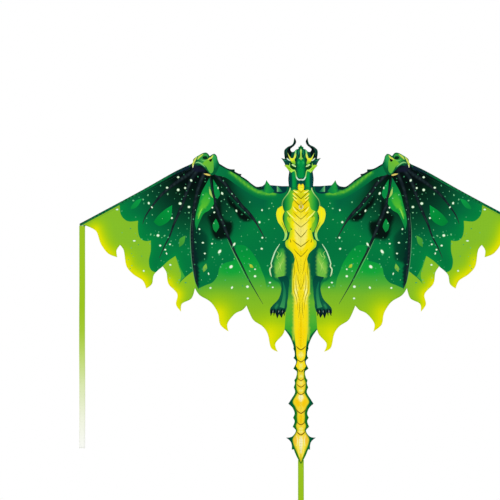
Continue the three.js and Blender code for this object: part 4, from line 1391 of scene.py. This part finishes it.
def make_edge_cloth(name, side):
    """Rod sleeve, end pockets, tip patch and stitching of one leading edge."""
    body = f"{name}_wing"
    length = np.linalg.norm(EDGE_WRIST - EDGE_TIP)
    tip_z, wrist_z = edge_point(1, 0)[1], edge_point(1, length)[1]
    joint = length * (SPREADER_Z - tip_z) / (wrist_z - tip_z)  # where the spreader meets the rod
    base = BACK_Y + 0.25
    r = 2.6
    arc = [(r * math.cos(a), EDGE_ROD_Y + r * math.sin(a)) for a in np.linspace(0.15, math.pi - 0.2, 9)]
    section = [(5.9, base - 0.1), (5.2, base + 1.2), (3.9, base + 2.9)] + arc
    section += [(-4.4, base + 2.6), (-6.2, base + 0.9), (-8.4, base + 0.25), (-11, base), (-14, base)]
    rng = random.Random(3)
    for part, start, end in (("outer", 30, joint - 19), ("inner", joint + 19, length - 24)):
        count = int((end - start) / 3)
        rows = []
        wobble = [rng.uniform(-1, 1) for _ in range(count + 6)]
        for k, v in enumerate(np.linspace(start, end, count)):
            sway = sum(wobble[k : k + 5]) / 5
            row = []
            for u, y in section:
                loose = max(0.0, 1 - abs(u + 4.5) / 5)
                spot = edge_point(side, v, EDGE_INSET - u)
                row.append((spot[0], y + 0.55 * loose * sway, spot[1]))
            rows.append(row)
        sleeve = woven(f"{name}_sleeve_{part}_cloth", rows, SLEEVE, 0.3)
        place(sleeve, body, f"{name}_edge_sleeve_{part}")

    # each strap's wider flange is the one away from the sail's edge
    for end, mouth, close_at in (("tip", 36, 8.5), ("wrist", length - 28, length - 1)):
        flanges = (9, 5.4) if side * (mouth - close_at) > 0 else (5.4, 9)
        strap = strap_over_rod(f"{name}_{end}_strap", edge_point(side, mouth), edge_point(side, close_at),
                               EDGE_ROD_Y, 2.7, flanges, BACK_Y + 0.6, close=4)
        place(strap, body, f"{name}_{end}_pocket")

    corners = [edge_point(side, v, inset) for v, inset in ((34, 16), (34, 0.6), (6, 0.6), (6, 5))]
    rows = []
    for t in np.linspace(0, 1, 9):
        outer = corners[1] + (corners[2] - corners[1]) * t
        inner = corners[0] + (corners[3] - corners[0]) * t
        rows.append([(*(inner + (outer - inner) * k), BACK_Y + 0.2) for k in np.linspace(0, 1, 5)])
    patch = woven(f"{name}_tip_patch_cloth", np.array(rows)[:, :, (0, 2, 1)], WEBBING, 0.3)
    place(patch, body, f"{name}_tip_patch")

    def line(inset, y, start=8.0, end=length - 6):
        spots = [edge_point(side, v, inset) for v in np.linspace(start, end, 24)]
        return [(x, y, z) for x, z in spots]

    hem = stitches(f"{name}_edge_stitching", [line(11.5, FRONT_Y), line(2.2, FRONT_Y, 8, 60)], THREAD)
    back_lines = [line(17.5, base + 0.15, 40, joint - 20),
                  line(17.5, base + 0.15, joint + 20, length - 28)]
    back_lines += [line(13.6, BACK_Y + 1.1, 12, 35), line(13.6, BACK_Y + 1.1, length - 27, length - 5)]
    back_hem = stitches(f"{name}_sleeve_stitching", back_lines, THREAD, face=1)
    x, z = side * RIBBON_TACK[0], RIBBON_TACK[1]
    tacks = stitches(f"{name}_ribbon_tack", [[(x - 7, FRONT_Y, z), (x + 7, FRONT_Y, z)]], THREAD)
    for thread in (hem, back_hem, tacks):
        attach(thread, body)

    fold = [[(side * 6.6, FRONT_Y, z) for z in np.linspace(44, TAIL_HINGE_Z + 10, 150)]]
    centre = stitches(f"{name}_spine_line", fold, GOLD_THREAD)
    seam_y, seam_z = FRONT_Y - 0.42, NECK_SEAM_Z - NECK_LAP + 1.5
    neck_path = [(side * x, seam_y, seam_z) for x in np.linspace(11, 36, 12)]
    seam = stitches(f"{name}_neck_seam", [neck_path], THREAD)
    for thread in (centre, seam):
        fold_with_wing(thread)
    return [hem, back_hem, tacks, centre, seam]


# ---- rods, hub and fittings ----------------------------------------------------------------------
def grainy(name, dark, light, scale, roughness, metallic=0.0, bump=0.1, lie=(0, 0, 0)):
    """A hard material whose tone and surface vary, with its grain's scale and lie (in degrees)."""
    material, tree, shader = new_material(name, roughness, Metallic=metallic)
    position = node(tree, "ShaderNodeTexCoord")
    turn = node(tree, "ShaderNodeMapping")
    turn.inputs["Rotation"].default_value = [math.radians(a) for a in lie]
    turn.inputs["Scale"].default_value = scale
    tree.links.new(position.outputs["Object"], turn.inputs["Vector"])
    grain = noise(tree, turn.outputs["Vector"], 1, 4)
    tree.links.new(blended(tree, grain, (*dark, 1), (*light, 1)), shader.inputs["Base Color"])
    tree.links.new(maths(tree, "MULTIPLY_ADD", grain, 0.24, roughness - 0.12), shader.inputs["Roughness"])
    roughen(tree, shader, grain, bump, 0.0003)
    return material


def finish_hardware():
    """Better materials and softened edges for the CAD's hard nodes."""
    along_x, along_z = (30, 2500, 2500), (2500, 2500, 30)
    lean = math.degrees(math.atan2(EDGE_WRIST[1] - EDGE_TIP[1], EDGE_TIP[0] - EDGE_WRIST[0]))
    fibre = {}
    for name, scale, turn in (("up", along_z, 0), ("across", along_x, 0), ("left", along_x, lean),
                              ("right", along_x, -lean)):
        fibre[name] = grainy(f"glass_fibre_{name}", (0.004, 0.004, 0.005), (0.03, 0.031, 0.034), scale,
                             0.34, lie=(0, turn, 0))
    vinyl = grainy("vinyl", (0.009, 0.009, 0.01), (0.022, 0.022, 0.023), (700, 700, 700), 0.5, bump=0.25)
    rubber = grainy("stopper_rubber", (0.012, 0.013, 0.014), (0.035, 0.036, 0.037), (900, 900, 900), 0.8,
                    bump=0.4)
    ferrule = grainy("ferrule_aluminium", (0.55, 0.56, 0.58), (0.82, 0.83, 0.85), (3000, 3000, 60), 0.3,
                     1.0, 0.15)
    pin = grainy("steel_pin", (0.42, 0.43, 0.45), (0.66, 0.67, 0.69), (3000, 3000, 80), 0.32, 1.0, 0.12)
    ring = grainy("steel_ring", (0.66, 0.67, 0.68), (0.84, 0.85, 0.86), (400, 400, 400), 0.2, 1.0, 0.04)

    finishes = {
        "spine_rod_upper": (fibre["up"], "glass_fibre", 0.5),
        "spine_rod_lower": (fibre["up"], "glass_fibre", 0.5),
        "spine_ferrule": (ferrule, "ferrule_aluminium", 0.2),
        "hub_body": (vinyl, "vinyl", 0.7),
        "hub_ring_upper": (rubber, "stopper_rubber", 0.5),
        "hub_ring_lower": (rubber, "stopper_rubber", 0.5),
        "tow_ring": (ring, "steel_ring", 0),
    }
    for name in SIDES:
        finishes[f"{name}_spreader"] = (fibre["across"], "glass_fibre", 0.4)
        finishes[f"{name}_edge_rod"] = (fibre[name], "glass_fibre", 0.4)
        finishes[f"{name}_edge_connector"] = (vinyl, "vinyl", 0.5)
        finishes[f"{name}_hub_arm"] = (vinyl, "vinyl", 0.5)
        finishes[f"{name}_hub_pin"] = (pin, "steel_pin", 0.25)
    for part, (material, slot, bevel) in finishes.items():
        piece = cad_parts[part]
        piece.data.materials.clear()
        piece.data.materials.append(material)
        if bevel:
            edge = piece.modifiers.new("edges", "BEVEL")
            edge.width = bevel * MM
            edge.segments = 3
            edge.limit_method = "ANGLE"
            edge.angle_limit = math.radians(50)
        for polygon in piece.data.polygons:
            polygon.use_smooth = True
        keep = piece.modifiers.new("corners", "WEIGHTED_NORMAL")
        keep.keep_sharp = True


make_camera()
make_studio()
finish_hardware()
threads = {name: make_edge_cloth(name, side) for name, side in SIDES.items()}
make_sails(threads)
make_tail()
make_ribbons()
make_spine_cloth()
